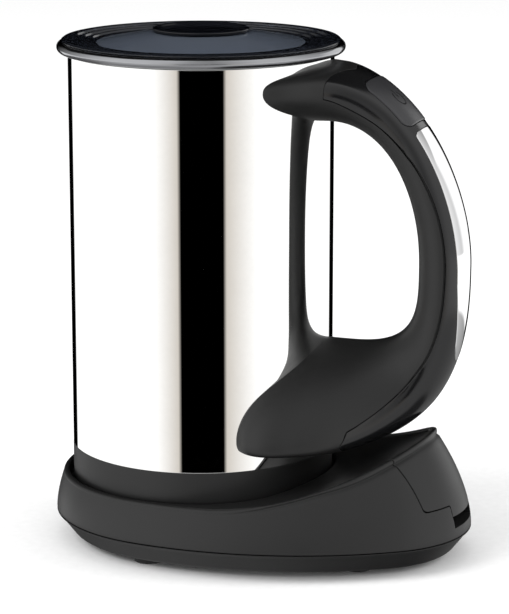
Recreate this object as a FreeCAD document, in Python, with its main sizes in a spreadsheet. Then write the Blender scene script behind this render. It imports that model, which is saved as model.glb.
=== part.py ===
import FreeCAD, Part
import math
import os
import re

import Sketcher
from FreeCAD import Placement, Rotation, Vector

# Milk frother: a power base, a lift-off jug with a looped handle, a lid and a magnetically driven whisk.
# Lengths are millimetres, +Z is up, +X points from the jug towards the handle. Every piece is drawn about
# the jug's axis and then moved by its Placement, so that the origin is under the middle of the base.

SIZES = {
    # base outline: a front arc about the jug's axis, a rear arc and two long side arcs tangent to both
    "base_margin": 6.5,
    "base_rear_radius": 38.0,
    "base_side_radius": 130.0,
    "heel_reach": 54.2,
    "base_wall": 2.2,
    "seam": 0.3,
    # base heights
    "foot_height": 2.0,
    "foot_radius": 5.5,
    "foot_sink": 0.6,
    "front_foot_reach": 40.0,
    "side_foot_x": -5.5,
    "side_foot_y": 39.9,
    "rear_foot_x": 67.7,
    "rear_foot_y": 22.6,
    "tray_inset": 6.5,
    "parting_height": 10.5,
    # dome: the wall leans in by dome_inset over dome_rise, following a power curve
    "dome_inset": 14.0,
    "dome_rise": 35.0,
    "dome_power": 1.7,
    "dome_spare": 7.0,
    # lip: level round the jug, then a large arc that climbs to the heel
    "recess_depth": 4.3,
    "lip_flat_reach": 18.0,
    "lip_curve_radius": 126.8,
    "recess_gap": 1.6,
    "recess_floor": 21.0,
    # heel cover and cord slot
    "cover_half_width": 22.0,
    "cover_bottom": 22.7,
    "slot_half_width": 10.3,
    "slot_low": 14.4,
    "slot_high": 18.6,
    "gland_radius": 3.6,
    "gland_bore": 1.3,
    "gland_length": 16.0,
    "gland_setback": 6.0,
    # connector between base and jug
    "post_radius": 6.5,
    "post_height": 10.0,
    "socket_gap": 0.4,
    "pin_radius": 1.6,
    # jug
    "sleeve_radius": 48.0,
    "sleeve_wall": 0.6,
    "skirt_height": 15.0,
    "sleeve_length": 143.6,
    "skirt_wall": 4.8,
    "skirt_round": 6.0,
    "pot_gap": 2.6,
    "pot_wall": 0.8,
    "pot_corner": 5.0,
    "bead_overhang": 2.06,
    "bead_tube": 1.89,
    "bead_rise": 2.37,
    # heater and drive under the pot
    "heater_margin": 4.4,
    "heater_thickness": 3.8,
    "element_radius": 30.0,
    "element_tube": 3.0,
    "bracket_drop": 8.0,
    "bracket_plate": 1.5,
    "motor_radius": 13.0,
    "motor_length": 24.0,
    "shaft_radius": 1.5,
    "shaft_gap": 0.05,
    "disc_radius": 15.0,
    "disc_thickness": 4.0,
    "magnet_radius": 3.0,
    "magnet_circle": 9.5,
    "magnet_thickness": 2.0,
    "magnet_gap": 0.9,
    "board_posts": 17.0,
    "board_thickness": 1.6,
    "motor_room": 6.3,
    # whisk
    "spindle_radius": 1.5,
    "spindle_length": 11.0,
    "bush_radius": 3.0,
    "whisk_radius": 17.0,
    "whisk_lift": 1.2,
    "coil_tube": 2.4,
    # lid
    "lid_flange_overlap": 2.0,
    "lid_wall": 1.8,
    "lid_skirt_gap": 1.2,
    "lid_skirt_depth": 9.0,
    "knob_radius": 17.4,
    "knob_rise": 4.74,
    "seal_gap": 0.2,
    # handle: outer and inner outlines are super-ellipses about one centre
    "handle_offset": 2.0,
    "handle_drop": 71.6,
    "outer_reach": 51.0,
    "outer_rise": 69.7,
    "outer_drop": 66.5,
    "inner_reach": 33.2,
    "inner_rise": 49.7,
    "inner_drop": 30.2,
    "grip_half_width": 12.5,
    "pad_half_width": 33.0,
    "wing_half_width": 44.6,
    "spine_share": 0.95,
    "strip_half_width": 8.6,
    "strip_thickness": 0.9,
    "button_half_width": 11.7,
    "button_corner": 4.0,
    "button_thickness": 2.6,
    "button_travel": 1.2,
    "switch_height": 3.4,
    "switch_board": 1.2,
    "switch_gap": 0.1,
    # fasteners
    "screw_radius": 1.45,
    "screw_head_radius": 2.9,
    "screw_head_height": 1.8,
}

# sizes that follow from the driving ones
DERIVED = {
    "base_front_radius": "sleeve_radius + base_margin",
    "base_rear_reach": "sleeve_radius + heel_reach",
    "lip_height": "recess_floor + recess_depth",
    "post_top": "recess_floor + post_height",
    "sleeve_bottom": "recess_floor + skirt_height",
    "sleeve_top": "sleeve_bottom + sleeve_length",
    "pot_radius": "sleeve_radius - pot_gap",
    "board_height": "recess_floor + board_posts",
    "motor_bottom": "board_height + board_thickness + motor_room",
    "bracket_top": "motor_bottom + motor_length + bracket_plate",
    "heater_bottom": "bracket_top + bracket_drop",
    "heater_top": "heater_bottom + heater_thickness",
    "heater_radius": "pot_radius - heater_margin",
    "pot_floor": "heater_top + pot_wall",
    "disc_top": "heater_top - magnet_gap",
    "bead_radius": "sleeve_radius + bead_overhang",
    "bead_height": "sleeve_top + bead_rise",
    "bead_top": "bead_height + bead_tube",
    "lid_flange_radius": "sleeve_radius + lid_flange_overlap",
    "lid_skirt_radius": "pot_radius - pot_wall - lid_skirt_gap",
    "knob_top": "bead_top + knob_rise",
    "handle_x": "sleeve_radius + handle_offset",
    "handle_height": "sleeve_top - handle_drop",
}

doc = FreeCAD.newDocument("milk_frother")
sheet = doc.addObject("Spreadsheet::Sheet", "Size")
for row, (alias, value) in enumerate(SIZES.items(), start=1):
    sheet.set(f"A{row}", alias)
    sheet.set(f"B{row}", str(value))
    sheet.setAlias(f"B{row}", alias)
doc.recompute()

JUG_AXIS_X = "(base_front_radius - base_rear_reach) / 2"
OFFSETS = {}
PIECES = {}


def bound(text):
    """The same formula with each size name pointed at its cell and each derived name written out."""
    def swap(word):
        name = word.group(0)
        return "(" + bound(DERIVED[name]) + ")" if name in DERIVED else "Size." + name
    return re.sub(r"[a-z]\w*", swap, str(text))


def number(text):
    """The value of a formula in size names."""
    return float(sheet.evalExpression(bound(text)))


def bind(item, **formulas):
    """Tie properties of a document object to cells; a double underscore in a name stands for a dot."""
    for name, text in formulas.items():
        item.setExpression(name.replace("__", "."), bound(text))
    return item


def place(item, x="0", y="0", z="0"):
    """Tie an object's position to cells."""
    OFFSETS[item.Name] = x
    return bind(item, Placement__Base__x=x, Placement__Base__y=y, Placement__Base__z=z)


def keep(label, item):
    """Make an object a sub-part: its Label names its file, and its Placement carries it to the row frame."""
    item.Label = label
    bind(item, Placement__Base__x=f"{JUG_AXIS_X} + ({OFFSETS.get(item.Name, 0)})")
    PIECES[label] = item
    return item


def origin_plane(body, role):
    """One of a body's own origin planes."""
    return [feature for feature in body.Origin.OriginFeatures if feature.Role == role][0]


def new_sketch(body, role):
    """An empty sketch on one of a body's origin planes."""
    sketch = body.newObject("Sketcher::SketchObject", body.Name + "_sketch")
    sketch.AttachmentSupport = (origin_plane(body, role), "")
    sketch.MapMode = "FlatFace"
    return sketch


def pin_vertex(sketch, edge, end, across, up):
    """Tie one end of an edge to two formulas."""
    for kind, text in (("DistanceX", across), ("DistanceY", up)):
        index = sketch.addConstraint(Sketcher.Constraint(kind, -1, 1, edge, end, number(text)))
        sketch.setExpression(f"Constraints[{index}]", bound(text))


def draw_outline(sketch, outline):
    """A closed outline; a vertex (across, up) starts a line, (across, up, radius) an arc to the next vertex.

    A positive radius bulges to the left of the way the outline runs, a negative one to the right.
    """
    first = sketch.GeometryCount
    points = [Vector(number(vertex[0]), number(vertex[1]), 0) for vertex in outline]
    ends = []
    for index, vertex in enumerate(outline):
        start = points[index]
        stop = points[(index + 1) % len(points)]
        if len(vertex) == 2:
            sketch.addGeometry(Part.LineSegment(start, stop), False)
            ends.append((1, 2))
            continue
        radius = number(vertex[2])
        chord = stop - start
        rise = abs(radius) - math.sqrt(radius * radius - chord.Length ** 2 / 4)
        left = Vector(-chord.y, chord.x, 0).normalize()
        middle = (start + stop) / 2 + left * math.copysign(rise, radius)
        sketch.addGeometry(Part.Arc(start, middle, stop), False)
        ends.append((2, 1) if radius > 0 else (1, 2))
        bend = sketch.addConstraint(Sketcher.Constraint("Radius", first + index, abs(radius)))
        sketch.setExpression(f"Constraints[{bend}]", "abs(" + bound(vertex[2]) + ")")
    for index, vertex in enumerate(outline):
        before = (index - 1) % len(outline)
        sketch.addConstraint(
            Sketcher.Constraint("Coincident", first + before, ends[before][1], first + index, ends[index][0]))
        pin_vertex(sketch, first + index, ends[index][0], vertex[0], vertex[1])


def turned_body(name, outline):
    """A body with one outline in the XZ plane, turned about the Z axis."""
    body = doc.addObject("PartDesign::Body", name)
    sketch = new_sketch(body, "XZ_Plane")
    draw_outline(sketch, outline)
    turn = body.newObject("PartDesign::Revolution", name + "_turn")
    turn.Profile = sketch
    turn.ReferenceAxis = (sketch, ["V_Axis"])
    turn.Angle = 360.0
    return body


def cylinder(radius, height, x="0", y="0", z="0"):
    """A round bar standing along Z."""
    item = doc.addObject("Part::Cylinder", "round_bar")
    bind(item, Radius=radius, Height=height)
    return place(item, x, y, z)


def box(length, width, height, x="0", y="0", z="0"):
    """A block, placed by its lowest corner."""
    item = doc.addObject("Part::Box", "block")
    bind(item, Length=length, Width=width, Height=height)
    return place(item, x, y, z)


def cut(base, tool):
    """The base without the tool."""
    item = doc.addObject("Part::Cut", "cut")
    item.Base = base
    item.Tool = tool
    return item


def joined(items):
    """Several solids that run into each other as one."""
    item = doc.addObject("Part::MultiFuse", "joined")
    item.Shapes = items
    return item


def group(items):
    """Several separate solids in one sub-part."""
    item = doc.addObject("Part::Compound", "group")
    item.Links = items
    return item


def on_circle(count, radius, first_angle=0.0):
    """X and Y formulas of evenly spaced places on a circle about the jug's axis."""
    places = []
    for index in range(count):
        angle = math.radians(first_angle + 360.0 * index / count)
        places.append((f"({radius}) * {math.cos(angle):.6f}", f"({radius}) * {math.sin(angle):.6f}"))
    return places


def solid_part(label, shape):
    """A free-form solid worked out from the sheet."""
    item = doc.addObject("Part::Feature", label)
    item.Shape = shape
    return keep(label, item)


def screws(label, places, top, length):
    """Pan-head screws pointing up: the head's underside is at the height top, one separate solid for each."""
    items = []
    for x, y in places:
        head = cylinder("screw_head_radius", "screw_head_height", x, y, f"({top}) - screw_head_height")
        slot = box("screw_head_radius * 1.2", "0.6", "0.7", f"({x}) - screw_head_radius * 0.6",
                   f"({y}) - 0.3", f"({top}) - screw_head_height")
        shank = cylinder("screw_radius", length, x, y, top)
        items.append(cut(joined([head, shank]), slot))
    return keep(label, group(items))


# ---------------------------------------------------------------- base

def oval(inset, z):
    """The base outline drawn in by inset, at height z: four tangent arcs."""
    front = number("base_front_radius")
    rear = number("base_rear_radius")
    side = number("base_side_radius")
    rear_x = number("base_rear_reach") - rear
    side_x = ((side - front) ** 2 - (side - rear) ** 2 + rear_x ** 2) / (2 * rear_x)
    side_y = math.sqrt((side - front) ** 2 - side_x ** 2)
    front_join = math.atan2(side_y, -side_x)
    rear_join = math.atan2(side_y, rear_x - side_x)

    def arc(centre_x, centre_y, radius, first, last):
        angles = (first, (first + last) / 2, last)
        return Part.Arc(*[Vector(centre_x + radius * math.cos(a), centre_y + radius * math.sin(a), z)
                          for a in angles]).toShape()

    return Part.Wire([
        arc(rear_x, 0, rear - inset, -rear_join, rear_join),
        arc(side_x, -side_y, side - inset, rear_join, front_join),
        arc(0, 0, front - inset, front_join, 2 * math.pi - front_join),
        arc(side_x, side_y, side - inset, -front_join, -rear_join),
    ])


def dome_inset(z):
    """How far the dome wall has leaned in at height z."""
    share = max(0.0, z - number("parting_height")) / number("dome_rise")
    return number("dome_inset") * share ** number("dome_power")


def dome_top():
    """Height of the dome before the lip is cut: a little above the heel's highest point."""
    centre = number("lip_height + lip_curve_radius")
    reach = number("base_rear_reach - dome_inset - lip_flat_reach")
    return centre - math.sqrt(number("lip_curve_radius") ** 2 - reach ** 2) + number("dome_spare")


def dome(inset, top):
    """The dome's solid from the parting line up to the height top, drawn in by inset."""
    low = number("parting_height")
    levels = [low + (top - low) * (step / 6) for step in range(7)]
    return Part.makeLoft([oval(dome_inset(z) + inset, z) for z in levels], True, False)


def above_lip(drop):
    """Everything above the lip line lowered by drop: level, then an arc that climbs to the heel."""
    radius = number("lip_curve_radius") + drop
    start = number("lip_flat_reach")
    low = number("lip_height") - drop
    centre_z = number("lip_height") + number("lip_curve_radius")
    far = start + radius * math.sin(math.radians(50))
    top = centre_z - radius * math.cos(math.radians(50))
    half = math.radians(25)
    bend = Part.Arc(Vector(start, 0, low), Vector(start + radius * math.sin(half), 0, centre_z
                                                  - radius * math.cos(half)), Vector(far, 0, top))
    corners = [Vector(far, 0, top), Vector(far, 0, top + 40), Vector(-100, 0, top + 40),
               Vector(-100, 0, low), Vector(start, 0, low)]
    edges = [bend.toShape()]
    edges += [Part.LineSegment(a, b).toShape() for a, b in zip(corners, corners[1:])]
    face = Part.Face(Part.Wire(edges))
    face.translate(Vector(0, -90, 0))
    return face.extrude(Vector(0, 180, 0))


def standing_cylinder(radius, low, high, x=0.0, y=0.0):
    """A cylinder along Z between two heights."""
    return Part.makeCylinder(radius, high - low, Vector(x, y, low))


def heel_block(half_width, low):
    """A block behind the jug, from the height low up past the heel, used to part the cover."""
    return Part.makeBox(80, 2 * half_width, 60, Vector(70, -half_width, low))


def cover_region(gap):
    """The heel cover's outline seen from behind: a wide flap with a narrower tongue above the cord slot."""
    flap = heel_block(number("cover_half_width") - gap, number("cover_bottom") + gap)
    tongue = heel_block(number("slot_half_width") - gap, number("slot_high"))
    return flap.fuse(tongue).removeSplitter()


def dome_skin():
    """The base's outer skin below the lip, with the cup for the jug."""
    wall = number("base_wall")
    recess = number("sleeve_radius") + number("recess_gap")
    floor = number("recess_floor")
    low = number("parting_height")
    outer = dome(0, dome_top()).cut(above_lip(0))
    hollow = dome(wall, dome_top()).cut(above_lip(wall))
    hollow = hollow.cut(standing_cylinder(recess + wall, floor - wall, 90))
    skin = outer.cut(hollow)
    return skin.cut(standing_cylinder(recess, floor, 90)), low


def base_upper_shell():
    """Domed upper shell: jug recess, heel, cord slot, cover opening, bosses for the base screws."""
    skin, low = dome_skin()
    skin = skin.cut(cover_region(0).common(rear_of_heel()))
    slot_width = 2 * number("slot_half_width")
    slot = Part.makeBox(40, slot_width, number("slot_high") - number("slot_low"),
                        Vector(85, -slot_width / 2, number("slot_low")))
    skin = skin.cut(slot)
    skin = skin.cut(standing_cylinder(number("post_radius + socket_gap"), 0, 60))
    wall = number("base_wall")
    room = dome(wall / 2, dome_top()).cut(above_lip(wall / 2))
    room = room.cut(standing_cylinder(number("sleeve_radius + recess_gap"), number("recess_floor") - wall / 2, 90))
    for x, y in base_screw_places():
        boss = standing_cylinder(2 * number("screw_radius") + 0.6, low, 90, x, y).common(room)
        bore = standing_cylinder(number("screw_radius"), low - 1, number("recess_floor") - 5.0, x, y)
        skin = skin.fuse(boss).cut(bore)
    solid_part("base_upper_shell", skin.removeSplitter())


def rear_of_heel():
    """The part of the heel that the cover takes: only the outer wall, behind the ribs."""
    return dome(-5, dome_top()).cut(dome(number("base_wall") + 0.01, dome_top() + 1))


def rear_cover():
    """Heel cover: a piece of the dome skin with a seam all round."""
    wall = number("base_wall") - number("seam")
    skin = dome(0, dome_top()).cut(dome(wall, dome_top() + 1)).cut(above_lip(0))
    solid_part("rear_cover", skin.common(cover_region(number("seam"))))


def base_screw_places():
    """Where the four base screws stand: beside the recess in the heel, and under the recess floor."""
    return [(-28.0, 22.0), (-28.0, -22.0), (53.0, 27.0), (53.0, -27.0)]


def foot_places():
    """One foot at the front, two at the sides and two under the heel."""
    return [(-number("front_foot_reach"), 0.0)] + [
        (number(x), side * number(y))
        for x, y in (("side_foot_x", "side_foot_y"), ("rear_foot_x", "rear_foot_y")) for side in (1, -1)]


def base_lower_shell():
    """Tray that closes the base: a chamfered rim, a floor, screw towers and seats for the feet."""
    low = number("foot_height")
    high = number("parting_height")
    wall = number("base_wall")
    inset = number("tray_inset")
    tray = Part.makeLoft([oval(inset, low), oval(0, high)], True, True)
    slope = inset / (high - low)
    hollow = Part.makeLoft([oval(inset - slope * wall + wall, low + wall), oval(wall, high)], True, True)
    tray = tray.cut(hollow)
    for x, y in base_screw_places():
        tray = tray.fuse(standing_cylinder(4.5, low, high, x, y))
        head = standing_cylinder(number("screw_head_radius") + 0.3, 0, low + 2 * number("screw_head_height"), x, y)
        bore = standing_cylinder(number("screw_radius") + 0.15, 0, high + 1, x, y)
        tray = tray.cut(head).cut(bore)
    for x, y in foot_places():
        tray = tray.cut(standing_cylinder(number("foot_radius"), 0, low + number("foot_sink"), x, y))
    solid_part("base_lower_shell", tray.removeSplitter())


def base_feet():
    """Rubber feet glued into shallow seats."""
    feet = []
    for x, y in foot_places():
        feet.append(cylinder("foot_radius", "foot_height + foot_sink", x, y))
    keep("base_feet", group(feet))


def base_screws():
    """Screws from below, through the tray's towers into the upper shell's bosses."""
    screws("base_screws", base_screw_places(), "foot_height + 2 * screw_head_height", "9")


def base_connector():
    """Round post that carries the contacts up into the jug."""
    low = "recess_floor - base_wall"
    body = turned_body("base_connector", [
        ("pin_radius", f"{low} - 3"), ("14", f"{low} - 3"), ("14", low), ("post_radius", low),
        ("post_radius", "post_top - 7"), ("post_radius - 1", "post_top - 7"),
        ("post_radius - 1", "post_top - 5.5"), ("post_radius", "post_top - 5.5"),
        ("post_radius", "post_top - 3.5"), ("post_radius - 1", "post_top - 3.5"),
        ("post_radius - 1", "post_top - 2"), ("post_radius", "post_top - 2"),
        ("post_radius", "post_top - 1", "-1"), ("post_radius - 1", "post_top"), ("pin_radius", "post_top")])
    keep("base_connector", body)


def contact_rings():
    """Two brass rings let into the connector post."""
    rings = [cut(cylinder("post_radius", "1.5", z=z), cylinder("post_radius - 1", "1.5", z=z))
             for z in ("post_top - 7", "post_top - 3.5")]
    keep("contact_rings", group(rings))


def contact_pin():
    """Brass centre pin."""
    keep("contact_pin", turned_body("contact_pin", [
        ("0", "recess_floor - base_wall - 3"), ("pin_radius", "recess_floor - base_wall - 3"),
        ("pin_radius", "post_top + 2"), ("0.6", "post_top + 3"), ("0", "post_top + 3")]))


def cord_gland():
    """Strain-relief bush in the cord slot, with the cord's bore along X."""
    middle = "(slot_low + slot_high) / 2"
    outer = Rotation(Vector(0, 1, 0), 90)
    start = "base_rear_reach - gland_setback - gland_length"
    stem = cylinder("gland_radius - 1.6", "gland_length", start, "0", middle)
    flange = cylinder("gland_radius", "3", start, "0", middle)
    bore = cylinder("gland_bore", "gland_length", start, "0", middle)
    for item in (stem, flange, bore):
        item.Placement = Placement(item.Placement.Base, outer)
    keep("cord_gland", cut(joined([stem, flange]), bore))


# ---------------------------------------------------------------- jug

def outer_sleeve():
    """Polished steel sleeve."""
    keep("outer_sleeve", turned_body("outer_sleeve", [
        ("sleeve_radius - sleeve_wall", "sleeve_bottom"), ("sleeve_radius", "sleeve_bottom"),
        ("sleeve_radius", "sleeve_top"), ("sleeve_radius - sleeve_wall", "sleeve_top")]))


def inner_pot():
    """Deep-drawn pot: flat floor, rounded corner, flared mouth and a rolled bead."""
    inner = "pot_radius - pot_wall"
    body = turned_body("inner_pot", [
        ("0", "heater_top"), ("pot_radius - pot_corner", "heater_top", "-pot_corner"),
        ("pot_radius", "heater_top + pot_corner"), ("pot_radius", "bead_height - 6"),
        ("bead_radius - bead_tube + 0.2", "bead_height - 0.3"),
        ("bead_radius - bead_tube + 0.2", "bead_height + 0.5"),
        (inner, "bead_height - 5.6"), (inner, "pot_floor + pot_corner - pot_wall", "pot_corner - pot_wall"),
        ("pot_radius - pot_corner", "pot_floor"), ("0", "pot_floor")])
    sketch = new_sketch(body, "XZ_Plane")
    circle = sketch.addGeometry(
        Part.Circle(Vector(number("bead_radius"), number("bead_height"), 0), Vector(0, 0, 1),
                    number("bead_tube")), False)
    pin_vertex(sketch, circle, 3, "bead_radius", "bead_height")
    bend = sketch.addConstraint(Sketcher.Constraint("Radius", circle, number("bead_tube")))
    sketch.setExpression(f"Constraints[{bend}]", bound("bead_tube"))
    bead = body.newObject("PartDesign::Revolution", "bead")
    bead.Profile = sketch
    bead.ReferenceAxis = (sketch, ["V_Axis"])
    bead.Angle = 360.0
    keep("inner_pot", body)


def skirt_ring():
    """Black ring under the steel, with a spigot inside the sleeve and a ledge for the jug floor."""
    inner = "sleeve_radius - skirt_wall"
    spigot = "sleeve_radius - sleeve_wall - 0.1"
    ring = turned_body("skirt_body", [
        (inner, "recess_floor + 1.5"), ("sleeve_radius - 4", "recess_floor + 1.5", "-skirt_round"),
        ("sleeve_radius", "recess_floor + 6.5"), ("sleeve_radius", "sleeve_bottom"),
        (spigot, "sleeve_bottom"), (spigot, "sleeve_bottom + 4"), (inner, "sleeve_bottom + 4"),
        (inner, "recess_floor + 6"), (f"{inner} - 5", "recess_floor + 6"),
        (f"{inner} - 5", "recess_floor + 3.5"), (inner, "recess_floor + 3.5")])
    bores = [cylinder("screw_radius", "6", x, y, "recess_floor + 2") for x, y in floor_screw_places()]
    keep("skirt_ring", cut(ring, group(bores)))


def jug_floor():
    """Bottom cover with a tube for the socket and posts for the control board."""
    rim = "sleeve_radius - skirt_wall - 0.1"
    tube = "post_radius + socket_gap + 5.1"
    floor = turned_body("jug_floor_body", [
        (tube, "recess_floor"), (f"{rim} - 1", "recess_floor"), (rim, "recess_floor + 1"),
        (rim, "recess_floor + 3.5"), (f"{rim} - 7", "recess_floor + 3.5"), (f"{rim} - 7", "recess_floor + 2"),
        (f"{tube} + 2", "recess_floor + 2"), (f"{tube} + 2", "recess_floor + 9"), (tube, "recess_floor + 9")])
    posts = [cylinder("2.5", "board_height - recess_floor - 1", x, y, "recess_floor + 1")
             for x, y in board_posts()]
    bores = [cylinder("screw_radius + 0.15", "12", x, y, "recess_floor - 1") for x, y in floor_screw_places()]
    seats = [cylinder("screw_head_radius + 0.3", "screw_head_height + 0.3", x, y, "recess_floor")
             for x, y in floor_screw_places()]
    keep("jug_floor", cut(joined([floor] + posts), group(bores + seats)))


def floor_screw_places():
    """Three screws under the skirt's ledge."""
    return on_circle(3, "sleeve_radius - skirt_wall - 3.4", 30.0)


def board_posts():
    """Four posts under the control board."""
    return [(x, y) for x in (-25, 25) for y in (-18, 18)]


def floor_screws():
    """Screws that hold the jug floor to the skirt's ledge."""
    screws("floor_screws", floor_screw_places(), "recess_floor + screw_head_height + 0.3", "3.2")


def jug_socket():
    """Blind socket that drops over the base's post."""
    bore = "post_radius + socket_gap"
    keep("jug_socket", turned_body("jug_socket", [
        (bore, "recess_floor + 0.2"), (f"{bore} + 5", "recess_floor + 0.2"), (f"{bore} + 5", "post_top + 6"),
        ("0", "post_top + 6"), ("0", "post_top + 4"), ("pin_radius + 0.5", "post_top + 4"),
        ("pin_radius + 0.5", "post_top + 0.6"), (bore, "post_top + 0.6")]))


def heater_plate():
    """Aluminium ring that spreads the heat under the pot."""
    top = "heater_top"
    keep("heater_plate", turned_body("heater_plate", [
        ("disc_radius + 2", f"{top} - heater_thickness"), ("heater_radius", f"{top} - heater_thickness"),
        ("pot_radius - pot_corner", top), ("disc_radius + 2", top)]))


def heating_element():
    """Open tubular ring under the plate, with two cold ends that point down."""
    level = "heater_bottom - element_tube"
    ring = doc.addObject("Part::Torus", "element_ring")
    bind(ring, Radius1="element_radius", Radius2="element_tube")
    ring.Angle3 = 320.0
    place(ring, z=level)
    ends = []
    for angle in (0.0, 320.0):
        cosine = math.cos(math.radians(angle))
        sine = math.sin(math.radians(angle))
        ends.append(cylinder("element_tube", "8", f"element_radius * {cosine:.6f}",
                             f"element_radius * {sine:.6f}", f"{level} - 8"))
    keep("heating_element", joined([ring] + ends))


def thermostat():
    """Snap-disc thermostat pressed against the heater plate."""
    top = "heater_bottom"
    can = cylinder("4.2", "5", "0", "21.9", f"{top} - 5")
    tabs = [box("0.8", "4", "2.5", x, "19.9", f"{top} - 7.5") for x in ("-2.4", "1.6")]
    keep("thermostat", joined([can] + tabs))


def thermal_fuse():
    """Round-bodied fuse held flat under the heater plate."""
    top = "heater_bottom"
    body = cylinder("1.8", "11", "-5.5", "-22", f"{top} - 1.8")
    body.Placement = Placement(body.Placement.Base, Rotation(Vector(0, 1, 0), 90))
    keep("thermal_fuse", body)


def leg_places():
    """Three legs between the motor bracket and the heater plate."""
    return on_circle(3, "heater_radius - 4", 160.0)


def motor_bracket():
    """Pressed plate hung from the heater plate by three legs."""
    plate = cylinder("heater_radius", "bracket_plate", z="bracket_top - bracket_plate")
    window = cylinder("4.2", "bracket_plate", z="bracket_top - bracket_plate")
    openings = [cylinder("element_tube + 1", "bracket_plate", f"element_radius * {math.cos(a):.6f}",
                         f"element_radius * {math.sin(a):.6f}", "bracket_top - bracket_plate")
                for a in (0.0, math.radians(320.0))]
    legs = [cylinder("2.6", "bracket_drop", x, y, "bracket_top") for x, y in leg_places()]
    keep("motor_bracket", cut(joined([plate] + legs), group([window] + openings)))


def motor_can():
    """Small direct-current motor with a bearing nose."""
    top = "bracket_top - bracket_plate"
    bore = "shaft_radius + shaft_gap"
    keep("motor_can", turned_body("motor_can", [
        (bore, f"{top} - motor_length"), ("motor_radius - 1", f"{top} - motor_length"),
        ("motor_radius", f"{top} - motor_length + 1"), ("motor_radius", top), ("4", top),
        ("4", f"{top} + 2.5"), (bore, f"{top} + 2.5")]))


def control_board():
    """Circuit board on the floor's posts, cut out for the socket."""
    plate = box("64", "46", "board_thickness", "-32", "-23", "board_height")
    hole = cylinder("post_radius + socket_gap + 7.6", "board_thickness", z="board_height")
    keep("control_board", cut(plate, hole))


def board_relay():
    """Relay that switches the heater."""
    keep("board_relay", box("11", "17", "12", "19", "-20", "board_height + board_thickness"))


def board_capacitor():
    """Smoothing capacitor."""
    keep("board_capacitor", cylinder("4.5", "11", "24", "14", "board_height + board_thickness"))


def board_terminals():
    """Terminal block for the heater and motor wires."""
    keep("board_terminals", box("8", "24", "8", "-30", "-12", "board_height + board_thickness"))


def spindle_pin():
    """Steel pin on the pot floor that centres the whisk."""
    keep("spindle_pin", turned_body("spindle_pin", [
        ("0", "pot_floor"), ("4", "pot_floor"), ("4", "pot_floor + 0.6"), ("spindle_radius", "pot_floor + 0.6"),
        ("spindle_radius", "pot_floor + spindle_length - 0.5"), ("spindle_radius - 0.5",
                                                                 "pot_floor + spindle_length"),
        ("0", "pot_floor + spindle_length")]))


# ---------------------------------------------------------------- handle

OUTER_POWER_UP = 1.8
OUTER_POWER_DOWN = 2.5
INNER_POWER_UP = 2.1
INNER_POWER_DOWN = 3.4


def blend(x, knots):
    """Straight-line interpolation through (x, value) knots in rising x."""
    if x <= knots[0][0]:
        return knots[0][1]
    for (x0, y0), (x1, y1) in zip(knots, knots[1:]):
        if x <= x1:
            return y0 + (y1 - y0) * (x - x0) / (x1 - x0)
    return knots[-1][1]


def loop_point(reach, rise, drop, power_up, power_down, turn):
    """A point of one of the handle's outlines, at the angle turn from level."""
    cosine = max(0.0, math.cos(turn))
    sine = math.sin(turn)
    power = power_up if sine >= 0 else power_down
    height = number(rise) if sine >= 0 else number(drop)
    return Vector(number("handle_x") + number(reach) * cosine ** (2 / power), 0,
                  number("handle_height") + math.copysign(height * abs(sine) ** (2 / power), sine))


def half_width(turn):
    """Half of the handle's width at the angle turn, in degrees: slim at the bow, wide towards each end."""
    grip = number("grip_half_width")
    pad = number("pad_half_width")
    wing = number("wing_half_width")
    return blend(turn, [(-90, 0.87 * wing), (-84, 0.77 * wing), (-76, 0.63 * wing), (-68, 0.52 * wing),
                        (-58, grip + 0.19 * (wing - grip)), (-48, grip + 0.09 * (wing - grip)),
                        (-35, grip + 0.03 * (wing - grip)), (0, grip), (45, grip + 0.02 * (pad - grip)),
                        (60, grip + 0.08 * (pad - grip)), (70, grip + 0.16 * (pad - grip)),
                        (80, grip + 0.3 * (pad - grip)), (90, 0.7 * pad)])


class Station:
    """One cross-section of the handle: outer and inner points in the XZ plane and a half-width."""

    def __init__(self, outer, inner, width, turn):
        self.outer = outer
        self.inner = inner
        self.width = width
        share = blend(turn, [(-90, 0.13), (-60, 0.3), (-30, 0.45), (30, 0.48), (60, 0.42), (90, 0.37)])
        self.centre = outer + (inner - outer) * share
        self.outer_power = blend(turn, [(-90, 3.0), (-50, 2.2), (0, 2.0), (30, 2.3), (50, 2.8), (90, 2.8)])

    def across(self, y, lift=0.0):
        """The point above y on the outer side of the section, raised by lift along the section."""
        share = min(1.0, abs(y) / self.width)
        ray = self.outer - self.centre
        length = ray.Length * max(0.0, 1 - share ** self.outer_power) ** (1 / self.outer_power) + lift
        point = self.centre + ray.normalize() * length
        return Vector(point.x, y, point.z)

    def ring(self):
        """The closed outline of the section."""
        points = []
        for step in range(24):
            angle = 2 * math.pi * step / 24
            cosine = math.cos(angle)
            sine = math.sin(angle)
            power = self.outer_power if cosine >= 0 else 2.0
            reach = abs(cosine) ** (2 / power)
            end = self.outer if cosine >= 0 else self.inner
            point = self.centre + (end - self.centre) * reach
            y = self.width * math.copysign(abs(sine) ** (2 / power), sine)
            points.append(Vector(point.x, y, point.z))
        curve = Part.BSplineCurve()
        curve.interpolate(points, PeriodicFlag=True)
        return Part.Wire(curve.toShape())


def bow_station(turn):
    """The section at the angle turn, in degrees, round the bow of the handle."""
    radians = math.radians(turn)
    outer = loop_point("outer_reach", "outer_rise", "outer_drop", OUTER_POWER_UP, OUTER_POWER_DOWN, radians)
    inner = loop_point("inner_reach", "inner_rise", "inner_drop", INNER_POWER_UP, INNER_POWER_DOWN, radians)
    return Station(outer, inner, half_width(turn), turn)


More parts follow.
